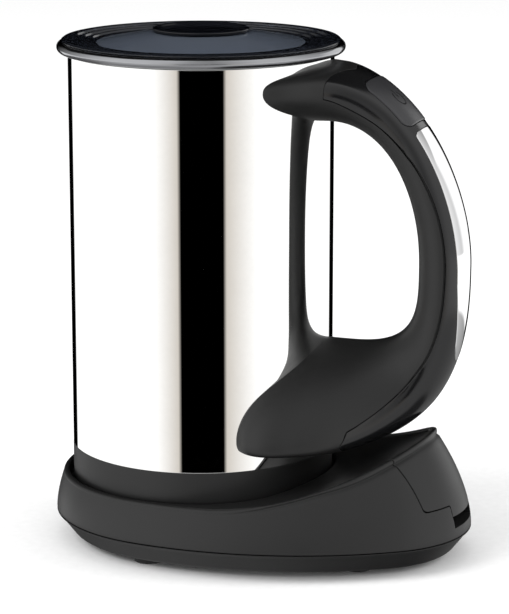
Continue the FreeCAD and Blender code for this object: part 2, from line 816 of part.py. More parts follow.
def pad_station(x, top):
    """A section in an upright plane across one end of the handle, at the distance x from the jug's axis."""
    if top:
        end = bow_station(90)
        width = blend(x, [(28, 1.0), (38, 0.99), (44, 0.88), (50, 0.7)]) * number("pad_half_width")
    else:
        end = bow_station(-90)
        width = blend(x, [(28, 0.88), (31, 0.96), (35, 1.0), (40, 0.99), (45, 0.95),
                          (50, 0.87)]) * number("wing_half_width")
    return Station(Vector(x, 0, end.outer.z), Vector(x, 0, end.inner.z), width, 90 if top else -90)


def handle_solid():
    """The whole handle as one loft from the upper pad round the bow to the lower wing."""
    stations = [pad_station(x, True) for x in (28, 34, 40, 45)]
    stations += [bow_station(turn) for turn in (90, 80, 70, 60, 45, 30, 15, 0, -15, -30, -42, -52, -60, -68,
                                                -76, -84, -90)]
    stations += [pad_station(x, False) for x in (45, 40, 35, 31, 28)]
    loft = Part.makeLoft([station.ring() for station in stations], True, False)
    return loft.cut(standing_cylinder(number("sleeve_radius"), 0, 250))


def band(turns, half, lift, depth):
    """A strip of the handle's outer side: from lift above the surface down to a flat bed.

    half gives the strip's half-width at an angle; the bed is depth below the surface at the strip's
    edge, so that its section is a lens.
    """
    wires = []
    for turn in turns:
        station = bow_station(turn)
        width = half(turn)
        top = [station.across(width * step / 3, lift) for step in range(-3, 4)]
        left = station.across(-width, -depth)
        right = station.across(width, -depth)
        curve = Part.BSplineCurve()
        curve.interpolate(top)
        edges = [curve.toShape(), Part.LineSegment(top[-1], right).toShape(),
                 Part.LineSegment(right, left).toShape(), Part.LineSegment(left, top[0]).toShape()]
        wires.append(Part.Wire(edges))
    return Part.makeLoft(wires, True, False)


def spine_half_width(turn):
    """Half-width of the spine shell: nearly the whole width of the handle."""
    return number("spine_share") * half_width(turn)


def strip_half_width(turn):
    """Half-width of the chrome strip, tapering to its lower tip."""
    return number("strip_half_width") * blend(turn, [(-26, 0.15), (-24.5, 0.35), (-21, 0.58), (-16, 0.72),
                                                     (-10, 0.85), (-2, 0.96), (8, 1.0)])


BUTTON_TOP_TURN = 70.6
BUTTON_END_TURN = 48.8
SPINE_TURNS = (80, 70, 60, 48, 36, 24, 12, 0, -12, -24, -36, -46, -56, -64, -72, -80)
STRIP_TURNS = (46.5, 38, 28, 18, 8, -2, -10, -16, -21, -24.5, -26)


def widened(width, extra):
    """The same half-width with a clearance added on each side."""
    return lambda turn: width(turn) + extra


def button_prism(grow, low, high):
    """A prism with rounded corners, square to the handle's back, where the power button sits."""
    centre, along, normal = button_frame()
    side = Vector(0, 1, 0)
    start = centre + normal * low
    half_length = button_half_length() + grow
    half_across = number("button_half_width") + grow
    radius = number("button_corner") + grow
    reach = radius * (1 - math.sqrt(0.5))
    edges = []
    last = None
    first = None
    for lengthwise, sideways in ((1, -1), (1, 1), (-1, 1), (-1, -1)):
        tip = start + along * (lengthwise * half_length) + side * (sideways * half_across)
        back = along * (-lengthwise * radius)
        inward = side * (-sideways * radius)
        middle = tip + (back + inward) * (reach / radius)
        enter, leave = (tip + back, tip + inward) if lengthwise == -sideways else (tip + inward, tip + back)
        if last:
            edges.append(Part.LineSegment(last, enter).toShape())
        edges.append(Part.Arc(enter, middle, leave).toShape())
        first = first or enter
        last = leave
    edges.append(Part.LineSegment(last, first).toShape())
    return Part.Face(Part.Wire(edges)).extrude(normal * (high - low))


def button_half_length():
    """Half of the distance between the button's two ends."""
    return (bow_station(BUTTON_END_TURN).outer - bow_station(BUTTON_TOP_TURN).outer).Length / 2


def button_frame():
    """Centre of the button on the handle's back, and its directions along and out of the surface."""
    upper = bow_station(BUTTON_TOP_TURN).outer
    lower = bow_station(BUTTON_END_TURN).outer
    along = (lower - upper).normalize()
    normal = Vector(-along.z, 0, along.x)
    return bow_station((BUTTON_TOP_TURN + BUTTON_END_TURN) / 2).outer, along, normal


def handle_pieces():
    """Grip, spine shell, chrome strip and power button, all cut from one handle surface."""
    whole = handle_solid()
    seam = number("seam") / 2
    bed = band((82,) + SPINE_TURNS[1:-1] + (-82,), widened(spine_half_width, seam), 6, seam)
    pocket = button_prism(number("seam"), -button_room(), 12)
    grip = whole.cut(bed).cut(pocket)
    for tool in bracket_pockets():
        grip = grip.cut(tool)
    strip_depth = number("strip_thickness")
    strip_bed = band(STRIP_TURNS, widened(strip_half_width, 0.05), 6, strip_depth)
    spine_form = band(SPINE_TURNS, spine_half_width, 6, 0)
    spine = whole.common(spine_form).cut(strip_bed).cut(pocket)
    strip = whole.common(band(STRIP_TURNS, strip_half_width, 6, strip_depth - 0.05))
    normal = button_frame()[2]
    lowered = whole.copy()
    lowered.translate(normal * -number("button_thickness"))
    button = whole.common(button_prism(0, -12, 12)).cut(lowered)
    solid_part("handle_grip", grip)
    solid_part("handle_spine", spine)
    solid_part("chrome_strip", strip)
    solid_part("power_button", button)


def bracket_block(level, half, height, grow):
    """A curved steel plate on the sleeve with a tab that runs out into the handle."""
    inner = number("sleeve_radius")
    ring = standing_cylinder(inner + 1.2 + grow, level - height / 2 - grow, level + height / 2 + grow)
    ring = ring.cut(standing_cylinder(inner, level - height, level + height))
    plate = ring.common(Part.makeBox(40, 2 * (half + grow), 2 * height, Vector(30, -half - grow,
                                                                              level - height)))
    tab = Part.makeBox(12 + grow, 10 + 2 * grow, 2 + 2 * grow, Vector(inner + 0.5, -5 - grow, level - 1 - grow))
    return plate.fuse(tab).removeSplitter()


def bracket_levels():
    """Heights of the upper and lower brackets, in the middle of each end of the handle."""
    upper = bow_station(90)
    lower = bow_station(-90)
    return (upper.outer.z + upper.inner.z) / 2 - 3, (lower.outer.z + lower.inner.z) / 2 - 2


def bracket_pockets():
    """Room for the two brackets and their screws inside the handle's ends."""
    tools = []
    x = number("sleeve_radius") + 8
    head = number("screw_head_height") + 0.2
    for level, access in zip(bracket_levels(), (head, 40)):
        tools.append(bracket_block(level, 14, 9, 0.1))
        tools.append(standing_cylinder(number("screw_radius"), level - 7, level + 5, x))
        tools.append(standing_cylinder(number("screw_head_radius") + 0.2, level - 3.2 - access, level - 3.2, x))
    return tools


def handle_brackets():
    """Steel brackets welded to the sleeve, with a hole for the handle screw."""
    for name, level in zip(("upper_bracket", "lower_bracket"), bracket_levels()):
        hole = standing_cylinder(number("screw_radius") + 0.1, level - 5, level + 5, number("sleeve_radius") + 8)
        solid_part(name, bracket_block(level, 14, 9, 0).cut(hole))


def handle_screws():
    """One screw from below through each bracket's tab."""
    items = []
    x = number("sleeve_radius") + 8
    for level in bracket_levels():
        shank = standing_cylinder(number("screw_radius"), level - 3.2, level + 4.5, x)
        head = standing_cylinder(number("screw_head_radius"), level - 3.2 - number("screw_head_height"),
                                 level - 3.2, x)
        items.append(head.fuse(shank))
    solid_part("handle_screws", Part.makeCompound(items))


def switch_frame(size, low):
    """A block square to the handle's back under the power button."""
    centre, along, normal = button_frame()
    half_length = along * (size[0] / 2)
    half_across = Vector(0, size[1] / 2, 0)
    middle = centre + normal * low
    corners = [middle - half_length - half_across, middle + half_length - half_across,
               middle + half_length + half_across, middle - half_length + half_across]
    return Part.Face(Part.makePolygon(corners + corners[:1])).extrude(normal * size[2])


def button_room():
    """Depth of the pocket under the button's crown: cap, travel, switch and board."""
    return number("button_thickness + button_travel + switch_height + switch_board + switch_gap")


def button_switch():
    """Tact switch under the button, on its small board at the bottom of the pocket."""
    board = number("switch_board")
    switch = number("switch_height")
    solid_part("button_board", switch_frame((20, 9, board), -button_room()))
    solid_part("button_switch", switch_frame((6, 6, switch), board - button_room()))


# ---------------------------------------------------------------- lid, drive and whisk

def lid_dome():
    """Smoked lid: a flange on the bead, concentric steps, a shallow cone and a skirt inside the pot."""
    outline = [
        ("5", "knob_top - 4.2"), ("knob_radius - 1", "knob_top - 4.2"),
        ("lid_skirt_radius - lid_wall - 4.8", "bead_top - 1.6"),
        ("lid_skirt_radius - lid_wall", "bead_top - 1.6"),
        ("lid_skirt_radius - lid_wall", "bead_top - lid_skirt_depth"),
        ("lid_skirt_radius", "bead_top - lid_skirt_depth"), ("lid_skirt_radius", "bead_top"),
        ("lid_flange_radius", "bead_top"), ("lid_flange_radius + 0.4", "bead_top + 0.5"),
        ("lid_flange_radius - 0.3", "bead_top + 1.1")]
    for step in range(3):
        edge = f"lid_flange_radius - {3.6 + 2.8 * step}"
        outline.append((edge, f"bead_top + {1.1 - 0.5 * step:.1f}"))
        outline.append((f"{edge} - 0.4", f"bead_top + {0.6 - 0.5 * step:.1f}"))
    outline += [("lid_flange_radius - 12.5", "bead_top - 0.4"), ("knob_radius", "knob_top - 1.6"),
                ("5", "knob_top - 1.6")]
    keep("lid_dome", turned_body("lid_dome", outline))


def lid_knob():
    """Flat disc in the middle of the lid, with a shallow well and a stem."""
    keep("lid_knob", turned_body("lid_knob", [
        ("0", "knob_top - 6"), ("4.9", "knob_top - 6"), ("4.9", "knob_top - 1.5"),
        ("knob_radius - 0.6", "knob_top - 1.5"), ("knob_radius", "knob_top - 1"), ("knob_radius", "knob_top - 0.4"),
        ("knob_radius - 0.5", "knob_top"), ("knob_radius - 2", "knob_top"), ("knob_radius - 2.6", "knob_top - 0.8"),
        ("0", "knob_top - 0.8")]))


def lid_seal():
    """Rubber ring round the lid's skirt."""
    level = "bead_top - lid_skirt_depth + 2"
    keep("lid_seal", turned_body("lid_seal", [
        ("lid_skirt_radius", level), ("pot_radius - pot_wall - seal_gap", f"{level} + 0.8"),
        ("pot_radius - pot_wall - seal_gap", f"{level} + 1.6"), ("lid_skirt_radius", f"{level} + 2.4")]))


def motor_shaft():
    """Motor shaft, carried by the can's bearings."""
    start = "motor_bottom - 2"
    keep("motor_shaft", cylinder("shaft_radius", f"disc_top - 1 - ({start})", z=start))


def drive_disc():
    """Disc on the motor shaft that carries the driving magnets."""
    disc = cylinder("disc_radius", "disc_thickness", z="disc_top - disc_thickness")
    bore = cylinder("shaft_radius", "disc_thickness", z="disc_top - disc_thickness")
    seats = [cylinder("magnet_radius", "magnet_thickness", x, y, "disc_top - magnet_thickness")
             for x, y in on_circle(4, "magnet_circle")]
    keep("drive_disc", cut(disc, group([bore] + seats)))


def drive_magnets():
    """Four magnets let into the drive disc."""
    keep("drive_magnets", group([
        cylinder("magnet_radius", "magnet_thickness", x, y, "disc_top - magnet_thickness")
        for x, y in on_circle(4, "magnet_circle")]))


def whisk_bush():
    """Plain bearing bush that drops on the spindle."""
    low = "pot_floor + whisk_lift"
    bore = "spindle_radius + shaft_gap"
    keep("whisk_bush", turned_body("whisk_bush", [
        (bore, low), ("bush_radius + 1.6", low), ("bush_radius + 1.6", f"{low} + 0.8"),
        ("bush_radius", f"{low} + 0.8"), ("bush_radius", f"{low} + 12"), ("0", f"{low} + 12"),
        ("0", f"{low} + 10.6"), (bore, f"{low} + 10.6")]))


def whisk_hub():
    """Whisk carrier: a disc with magnet pockets, a collar and three spokes out to the coil."""
    low = "pot_floor + whisk_lift + 0.9"
    disc = cylinder("whisk_radius", "3.6", z=low)
    collar = cylinder("bush_radius + 3", "9", z=low)
    bore = cylinder("bush_radius + shaft_gap", "9", z=low)
    seats = [cylinder("magnet_radius", "magnet_thickness", x, y, low) for x, y in on_circle(4, "magnet_circle")]
    keep("whisk_hub", cut(joined([disc, collar]), group([bore] + seats)))


def whisk_magnets():
    """Four magnets in the underside of the whisk."""
    low = "pot_floor + whisk_lift + 0.9"
    keep("whisk_magnets", group([cylinder("magnet_radius", "magnet_thickness", x, y, low)
                                 for x, y in on_circle(4, "magnet_circle")]))


def whisk_coil():
    """Envelope of the spring coil that runs round the whisk's edge."""
    ring = doc.addObject("Part::Torus", "coil_ring")
    bind(ring, Radius1="whisk_radius + coil_tube", Radius2="coil_tube")
    place(ring, z="pot_floor + whisk_lift + 2.7")
    keep("whisk_coil", cut(ring, cylinder("whisk_radius", "12", z="pot_floor - 2")))


for build in (base_upper_shell, base_lower_shell, rear_cover, base_feet, base_screws, base_connector,
              contact_rings, contact_pin, cord_gland, outer_sleeve, inner_pot, skirt_ring, jug_floor,
              floor_screws, jug_socket, heater_plate, heating_element, thermostat, thermal_fuse,
              motor_bracket, motor_can, control_board, board_relay, board_capacitor, board_terminals,
              spindle_pin, handle_pieces, handle_brackets, handle_screws, button_switch, lid_dome,
              lid_knob, lid_seal, motor_shaft, drive_disc, drive_magnets, whisk_bush, whisk_hub,
              whisk_magnets, whisk_coil):
    build()
doc.recompute()

for item in doc.Objects:
    if "Invalid" in item.State or "Error" in item.State:
        raise RuntimeError(f"{item.Label} failed: {item.State}")
for label, item in PIECES.items():
    if item.Shape.isNull() or not item.Shape.isValid() or not item.Shape.Solids:
        raise RuntimeError(f"{label} has no valid solid")

os.makedirs("parts", exist_ok=True)
for label, item in PIECES.items():
    item.Shape.exportStep(f"parts/{label}.step")
    extent = item.Shape.BoundBox
    print(f"{label:18s} solids {len(item.Shape.Solids)} volume {item.Shape.Volume:10.1f} "
          f"x {extent.XMin:7.2f} {extent.XMax:7.2f} y {extent.YMin:7.2f} {extent.YMax:7.2f} "
          f"z {extent.ZMin:7.2f} {extent.ZMax:7.2f}")
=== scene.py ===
import logging
import math
from dataclasses import dataclass, field
from enum import Enum

import bmesh
import bpy
import numpy as np
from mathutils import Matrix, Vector


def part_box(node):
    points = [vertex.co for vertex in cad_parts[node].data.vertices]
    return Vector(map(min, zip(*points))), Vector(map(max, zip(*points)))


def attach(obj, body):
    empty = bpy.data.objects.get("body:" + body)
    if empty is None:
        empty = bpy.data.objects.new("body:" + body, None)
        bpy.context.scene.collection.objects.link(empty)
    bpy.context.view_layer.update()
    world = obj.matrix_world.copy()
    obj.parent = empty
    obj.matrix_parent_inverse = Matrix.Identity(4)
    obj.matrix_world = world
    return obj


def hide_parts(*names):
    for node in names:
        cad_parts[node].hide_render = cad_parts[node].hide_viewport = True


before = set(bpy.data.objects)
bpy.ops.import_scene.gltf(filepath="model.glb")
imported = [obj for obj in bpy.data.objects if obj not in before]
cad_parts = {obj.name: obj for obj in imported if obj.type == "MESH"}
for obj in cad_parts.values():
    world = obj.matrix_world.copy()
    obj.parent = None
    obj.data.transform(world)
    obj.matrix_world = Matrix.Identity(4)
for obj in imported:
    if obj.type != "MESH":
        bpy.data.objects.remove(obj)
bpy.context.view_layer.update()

# Milk frother: power base, lift-off jug with a looped handle, smoked lid and a magnetic whisk.
# Sizes are millimetres about the jug's axis with the floor at zero; make_mesh carries them to the frame.

MM = 0.001
LOG = logging.getLogger("milk_frother")


def jug_axis() -> np.ndarray:
    """Where the jug's axis stands in the frame, in metres: the middle of the sleeve's box."""
    low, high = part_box("outer_sleeve")
    return np.array([(low.x + high.x) / 2, (low.y + high.y) / 2, 0.0])


AXIS = jug_axis()
# A brushed or turned line is this many times as long as it is wide.
DRAWN_OUT = 60


# ---------------------------------------------------------------- colours and nodes

def linear(colour: str) -> tuple[float, float, float, float]:
    """An sRGB hex colour as linear light.

    Args:
        colour: "#rrggbb".

    Returns:
        Red, green, blue and an alpha of one.
    """
    parts = [int(colour[i:i + 2], 16) / 255 for i in (1, 3, 5)]
    return tuple(c / 12.92 if c <= 0.04045 else ((c + 0.055) / 1.055) ** 2.4 for c in parts) + (1.0,)


def add_node(tree: bpy.types.NodeTree, kind: str, settings: dict | None = None,
             inputs: dict | None = None) -> bpy.types.Node:
    """Adds one node with its settings, and sets or links its inputs.

    Args:
        tree: The node tree.
        kind: The node's type name.
        settings: Attributes of the node.
        inputs: Input name or number to a value, or to the socket that drives it.

    Returns:
        The new node.
    """
    node = tree.nodes.new(kind)
    for key, value in (settings or {}).items():
        setattr(node, key, value)
    for key, value in (inputs or {}).items():
        if isinstance(value, bpy.types.NodeSocket):
            tree.links.new(value, node.inputs[key])
        else:
            node.inputs[key].default_value = value
    return node


def fresh_tree(owner: bpy.types.ID) -> bpy.types.NodeTree:
    """Turns on a material's or world's nodes and empties them."""
    owner.use_nodes = True
    owner.node_tree.nodes.clear()
    return owner.node_tree


def set_stops(node: bpy.types.Node, stops: list[tuple[float, tuple]]) -> bpy.types.Node:
    """Gives a colour ramp its stops.

    Args:
        node: The ramp.
        stops: Each a place from zero to one and a linear colour, in order.

    Returns:
        The ramp.
    """
    elements = node.color_ramp.elements
    while len(elements) < len(stops):
        elements.new(1.0)
    for element, (place, colour) in zip(elements, stops):
        element.position = place
        element.color = colour
    return node


class Pattern(Enum):
    """How a finish varies over its surface."""

    GRAIN = "even grain"
    BRUSHED = "fine lines along one axis"
    POLISHED = "faint haze in broad patches"
    TURNED = "fine rings about the jug's axis"


@dataclass(frozen=True)
class Finish:
    """A material: its colour, its shine and the pattern of its surface, sizes in millimetres."""

    name: str
    colour: str
    roughness: float
    metallic: float = 0.0
    ior: float = 1.5
    pattern: Pattern = Pattern.GRAIN
    grain: float = 0.4
    relief: float = 0.02
    spread: float = 0.06
    tint: str = ""
    specular: float = 0.5
    transmission: float = 0.0
    soften: float = 0.0

    def stretch(self) -> tuple[float, float, float]:
        """How many pattern cells lie along each axis for each metre."""
        fine = 1 / (self.grain * MM)
        drawn = fine / DRAWN_OUT
        if self.pattern is Pattern.BRUSHED:
            return fine, fine, drawn
        if self.pattern is Pattern.TURNED:
            return drawn, drawn, fine
        return fine, fine, fine

    def material(self) -> bpy.types.Material:
        """Builds the node material once and hands it out after that."""
        made = bpy.data.materials.get(self.name)
        if made and made.get("finish"):
            return made
        made = bpy.data.materials.new(self.name)
        made["finish"] = self.name
        tree = fresh_tree(made)
        place = add_node(tree, "ShaderNodeTexCoord").outputs["Object"]
        cells = add_node(tree, "ShaderNodeMapping", None, {"Vector": place, "Scale": self.stretch()})
        fine = add_node(tree, "ShaderNodeTexNoise", None,
                        {"Vector": cells.outputs["Vector"], "Scale": 1.0, "Detail": 2.0, "Roughness": 0.55})
        broad = add_node(tree, "ShaderNodeTexNoise", None,
                         {"Vector": place, "Scale": 38.0, "Detail": 3.0, "Roughness": 0.6})
        share = add_node(tree, "ShaderNodeMath", {"operation": "MULTIPLY"}, {0: fine.outputs["Fac"], 1: 0.35})
        mixed = add_node(tree, "ShaderNodeMath", {"operation": "MULTIPLY_ADD"},
                         {0: broad.outputs["Fac"], 1: 0.65, 2: share.outputs[0]})
        rough = add_node(tree, "ShaderNodeMapRange", {"clamp": True},
                         {"Value": mixed.outputs[0], "From Min": 0.3, "From Max": 0.7,
                          "To Min": max(0.0, self.roughness - self.spread),
                          "To Max": self.roughness + self.spread})
        tone = set_stops(add_node(tree, "ShaderNodeValToRGB", None, {"Fac": mixed.outputs[0]}),
                         [(0.35, linear(self.colour)), (0.65, linear(self.tint or self.colour))])
        inputs = {"Base Color": tone.outputs["Color"], "Roughness": rough.outputs["Result"],
                  "Metallic": self.metallic, "Specular IOR Level": self.specular,
                  "Transmission Weight": self.transmission}
        if not self.metallic:
            inputs["IOR"] = self.ior
        if self.relief:
            bump_in = {"Height": fine.outputs["Fac"], "Strength": 1.0, "Distance": self.relief * MM}
            if self.soften:
                edge = add_node(tree, "ShaderNodeBevel", {"samples": 4}, {"Radius": self.soften * MM})
                bump_in["Normal"] = edge.outputs["Normal"]
            inputs["Normal"] = add_node(tree, "ShaderNodeBump", None, bump_in).outputs["Normal"]
        shader = add_node(tree, "ShaderNodeBsdfPrincipled", None, inputs)
        add_node(tree, "ShaderNodeOutputMaterial", None, {"Surface": shader.outputs["BSDF"]})
        return made


# Spark-eroded ABS: near-black, dull, with a fine even grain that breaks highlights into a soft sheen.
SOFT_BLACK = Finish("abs_spark_eroded_black", "#121212", 0.48, ior=1.53, grain=0.35, relief=0.012,
                    tint="#151515", soften=0.25)
# The base is the same moulding with a slightly shinier skin.
BASE_BLACK = Finish("abs_moulded_base_black", "#131313", 0.45, ior=1.53, grain=0.4, relief=0.012,
                    tint="#161616", soften=0.25)
# Polished ABS: the tool was buffed, so studio panels show in it with clean edges.
GLOSS_BLACK = Finish("abs_polished_black", "#0f0f10", 0.16, ior=1.53, grain=0.8, relief=0.0003, spread=0.02,
                     tint="#121213")
# Satin ABS, a shade lighter than the grip, so that the button's outline reads against it.
BUTTON_BLACK = Finish("abs_button_satin_black", "#2a2a2c", 0.3, ior=1.53, grain=0.6, relief=0.001,
                      spread=0.03, tint="#2f2f31")
# Ink takes almost no shine, so the sign shows as a darker line on the satin cap.
PRINT_BLACK = Finish("pad_print_ink_black", "#060607", 0.4, grain=0.3, relief=0.003, specular=0.12)
# Mirror-polished stainless steel: roughness close to nothing, a little haze from buffing.
MIRROR_STEEL = Finish("stainless_mirror_polished", "#f2f2f1", 0.016, 1.0, pattern=Pattern.POLISHED, grain=2.0,
                      relief=0.0, spread=0.008, tint="#f6f6f5")
# The bead is satin steel: a grey band whose reflections are drawn a little softer than the sleeve's.
SATIN_STEEL = Finish("stainless_satin_bead", "#a2a3a6", 0.15, 1.0, pattern=Pattern.TURNED, grain=0.2,
                     relief=0.0006, spread=0.04, tint="#aaabae")
# Inside the pot the steel is brushed in rings and looks pale and dull. The rings are drawn coarser than real.
POT_STEEL = Finish("stainless_brushed_pot", "#b4b5b6", 0.4, 1.0, pattern=Pattern.TURNED, grain=0.25,
                   relief=0.003, spread=0.06, tint="#c0c1c2")
# Chrome on plastic mirrors like the sleeve but whiter, so the strip reads as one bright line.
CHROME = Finish("abs_chrome_plated", "#f4f4f5", 0.03, 1.0, pattern=Pattern.POLISHED, grain=2.0, relief=0.0,
                spread=0.01, tint="#f8f8f8")
# Zinc plate: bluish grey, with a soft shine that never mirrors.
SCREW_STEEL = Finish("steel_zinc_plated", "#a7a9ad", 0.3, 1.0, grain=0.2, relief=0.004)
# Turned brass: warm yellow with fine rings, bright where the contacts are exposed.
BRASS = Finish("brass_turned", "#c9a349", 0.22, 1.0, pattern=Pattern.TURNED, grain=0.12, relief=0.003,
               tint="#d2ae57")
# As it leaves the die, aluminium is grey, dull and slightly cloudy.
CAST_ALUMINIUM = Finish("aluminium_die_cast", "#8d8f91", 0.45, 1.0, grain=0.5, relief=0.02, tint="#9b9d9f")
# Drawn steel keeps fine lines along the way it was pulled.
MOTOR_STEEL = Finish("steel_drawn_can", "#96989b", 0.3, 1.0, pattern=Pattern.BRUSHED, grain=0.2, relief=0.004)
# Smoked acrylic: clear and cool grey, with glassy edges; the pot shows dimly through it.
SMOKED = Finish("acrylic_smoked_clear", "#454a55", 0.03, ior=1.49, grain=3.0, relief=0.0, spread=0.01,
                tint="#4b505c", transmission=0.9)
# A paler, less clear copy of the smoked acrylic for the cone: its lighter tone is painted light, standing in
# for the pale pot glowing through the cone.
SMOKED_CONE_PAINTED_LIGHT = Finish("acrylic_smoked_cone_painted_light", "#7b8493", 0.05, ior=1.49, grain=3.0, relief=0.0, spread=0.01,
                     tint="#818a99", transmission=0.72)
# The knob is thick enough for the smoke to close up into a glossy black.
KNOB_BLACK = Finish("acrylic_knob_smoked_black", "#0c0d10", 0.06, ior=1.49, grain=1.5, relief=0.0,
                    spread=0.02, tint="#101116")
# Silicone is matt and a touch lighter than the plastic round it.
SILICONE = Finish("silicone_seal_grey", "#3a3c3f", 0.55, ior=1.41, grain=0.5, relief=0.01)
# Rubber swallows light: black with a wide, weak sheen.
RUBBER = Finish("rubber_foot_black", "#141415", 0.75, ior=1.52, grain=0.5, relief=0.03)
# Hidden nylon mouldings keep the tool's plain, half-dull skin.
DARK_PLASTIC = Finish("nylon_black", "#151516", 0.5, ior=1.53, grain=0.4, relief=0.01)
# The relay's case is the one blue thing inside, half shiny.
RELAY_BLUE = Finish("polyester_relay_blue", "#22406e", 0.4, ior=1.55, grain=0.4, relief=0.01)
# Natural acetal: milky white and slightly waxy.
DRIVE_WHITE = Finish("acetal_natural", "#d9d9d2", 0.35, ior=1.48, grain=0.4, relief=0.008, tint="#e0e0da")
# Circuit laminate: green resin over glass cloth, whose weave shows as a faint unevenness.
LAMINATE = Finish("fibreglass_laminate_green", "#1f5a36", 0.35, ior=1.55, grain=0.3, relief=0.01,
                  tint="#256540")
# Nickel plate is warmer than chrome and a little hazy.
NICKEL = Finish("nickel_plated_magnet", "#c9c6bf", 0.18, 1.0, grain=0.6, relief=0.002)
# Polypropylene looks greasy: dark grey with a broad soft highlight.
WHISK_PLASTIC = Finish("polypropylene_whisk_black", "#1d1e20", 0.35, ior=1.49, grain=0.4, relief=0.006)
# Spring wire glints along each turn of the coil.
COIL_WIRE = Finish("stainless_spring_wire", "#c6c7c9", 0.16, 1.0, grain=0.1, relief=0.002)

CAD_FINISHES = {
    "base_feet": RUBBER, "base_screws": SCREW_STEEL, "base_connector": DARK_PLASTIC, "contact_rings": BRASS,
    "contact_pin": BRASS, "cord_gland": RUBBER, "jug_floor": SOFT_BLACK, "floor_screws": SCREW_STEEL,
    "jug_socket": DARK_PLASTIC, "heater_plate": CAST_ALUMINIUM, "heating_element": MOTOR_STEEL,
    "thermostat": SCREW_STEEL, "thermal_fuse": DARK_PLASTIC, "motor_bracket": SCREW_STEEL,
    "motor_can": MOTOR_STEEL, "control_board": LAMINATE, "board_relay": RELAY_BLUE,
    "board_capacitor": DARK_PLASTIC, "board_terminals": DRIVE_WHITE, "spindle_pin": SCREW_STEEL,
    "upper_bracket": SCREW_STEEL, "lower_bracket": SCREW_STEEL, "handle_screws": SCREW_STEEL,
    "button_switch": DARK_PLASTIC, "button_board": LAMINATE, "lid_seal": SILICONE,
    "motor_shaft": SCREW_STEEL, "drive_disc": DRIVE_WHITE, "drive_magnets": NICKEL, "whisk_bush": DRIVE_WHITE,
    "whisk_hub": WHISK_PLASTIC, "whisk_magnets": NICKEL,
}


# ---------------------------------------------------------------- meshes from grids

# Where points stand across a rounded edge, in radii from its rim.
EDGE_SHARES = np.array([0.0, 0.08, 0.22, 0.45, 0.72, 1.0])


def eased(value: np.ndarray, start: float, end: float) -> np.ndarray:
    """Zero up to start, one from end on, and 3 s^2 - 2 s^3 between them."""
    share = np.clip((value - start) / (end - start), 0, 1)
    return share * share * (3 - 2 * share)


def knotted(place: np.ndarray, knots: tuple) -> np.ndarray:
    """Straight lines between knots, each a place and a value."""
    return np.interp(place, *np.array(knots, float).T)


def full_turn(count: int) -> np.ndarray:
    """Evenly spaced angles once round, in radians."""
    return np.arange(count) * (2 * np.pi / count)


def bend(start: np.ndarray, corner: np.ndarray, end: np.ndarray, steps: int) -> np.ndarray:
    """A parabola that leaves both its ends towards a corner: (1-t)^2, 2t(1-t) and t^2 of the three points."""
    share = np.linspace(0, 1, steps)[:, None]
    return (1 - share) ** 2 * start + 2 * share * (1 - share) * corner + share ** 2 * end


@dataclass
class Shape:
    """Points in millimetres and the faces between them."""

    points: np.ndarray
    faces: list[list[int]]


def cells(rows: int, columns: int, round_rows: bool = False, round_columns: bool = False) -> np.ndarray:
    """Corner numbers of every cell of a grid of points.

    Args:
        rows: Rows of points.
        columns: Points in a row.
        round_rows: Whether the last row joins the first.
        round_columns: Whether the last point of a row joins its first.

    Returns:
        One line of four corners for each cell.
    """
    row, column = np.meshgrid(np.arange(rows if round_rows else rows - 1),
                              np.arange(columns if round_columns else columns - 1), indexing="ij")
    below = (row + 1) % rows
    beside = (column + 1) % columns
    corners = [row * columns + column, row * columns + beside,
               below * columns + beside, below * columns + column]
    return np.stack(corners, -1).reshape(-1, 4)


def tube(grid: np.ndarray) -> Shape:
    """A surface whose rows are closed rings and whose last ring joins its first: a closed skin.

    Args:
        grid: Points, ring by ring.

    Returns:
        The closed shape.
    """
    rings, count = grid.shape[:2]
    return Shape(grid.reshape(-1, 3), cells(rings, count, True, True).tolist())


def capped(grid: np.ndarray) -> Shape:
    """A surface whose rows are closed rings, shut at each end by a many-sided face.

    Args:
        grid: Points, ring by ring.

    Returns:
        The closed shape.
    """
    rings, count = grid.shape[:2]
    faces = cells(rings, count, False, True).tolist()
    faces.append(list(range(count)))
    faces.append([(rings - 1) * count + i for i in range(count)])
    return Shape(grid.reshape(-1, 3), faces)


def joined(shapes: list[Shape]) -> Shape:
    """Several shapes as one, their faces renumbered in turn."""
    starts = np.cumsum([0] + [len(shape.points) for shape in shapes]).tolist()
    faces = [[corner + start for corner in face]
             for shape, start in zip(shapes, starts) for face in shape.faces]
    return Shape(np.concatenate([shape.points for shape in shapes]), faces)


def slab(top: np.ndarray, bottom: np.ndarray) -> Shape:
    """A closed slab between two sheets of the same grid: each row runs along the top and back underneath.

    Args:
        top: The upper sheet's points.
        bottom: The lower sheet's points.

    Returns:
        The closed shape.
    """
    grid = np.concatenate([top, bottom[:, ::-1]], axis=1)
    rows, count = grid.shape[:2]
    faces = cells(rows, count, False, True).tolist()
    step = np.arange(count // 2 - 1)
    ladder = np.stack([step, step + 1, count - 2 - step, count - 1 - step], -1)
    faces += ladder.tolist() + (ladder + (rows - 1) * count).tolist()
    return Shape(grid.reshape(-1, 3), faces)


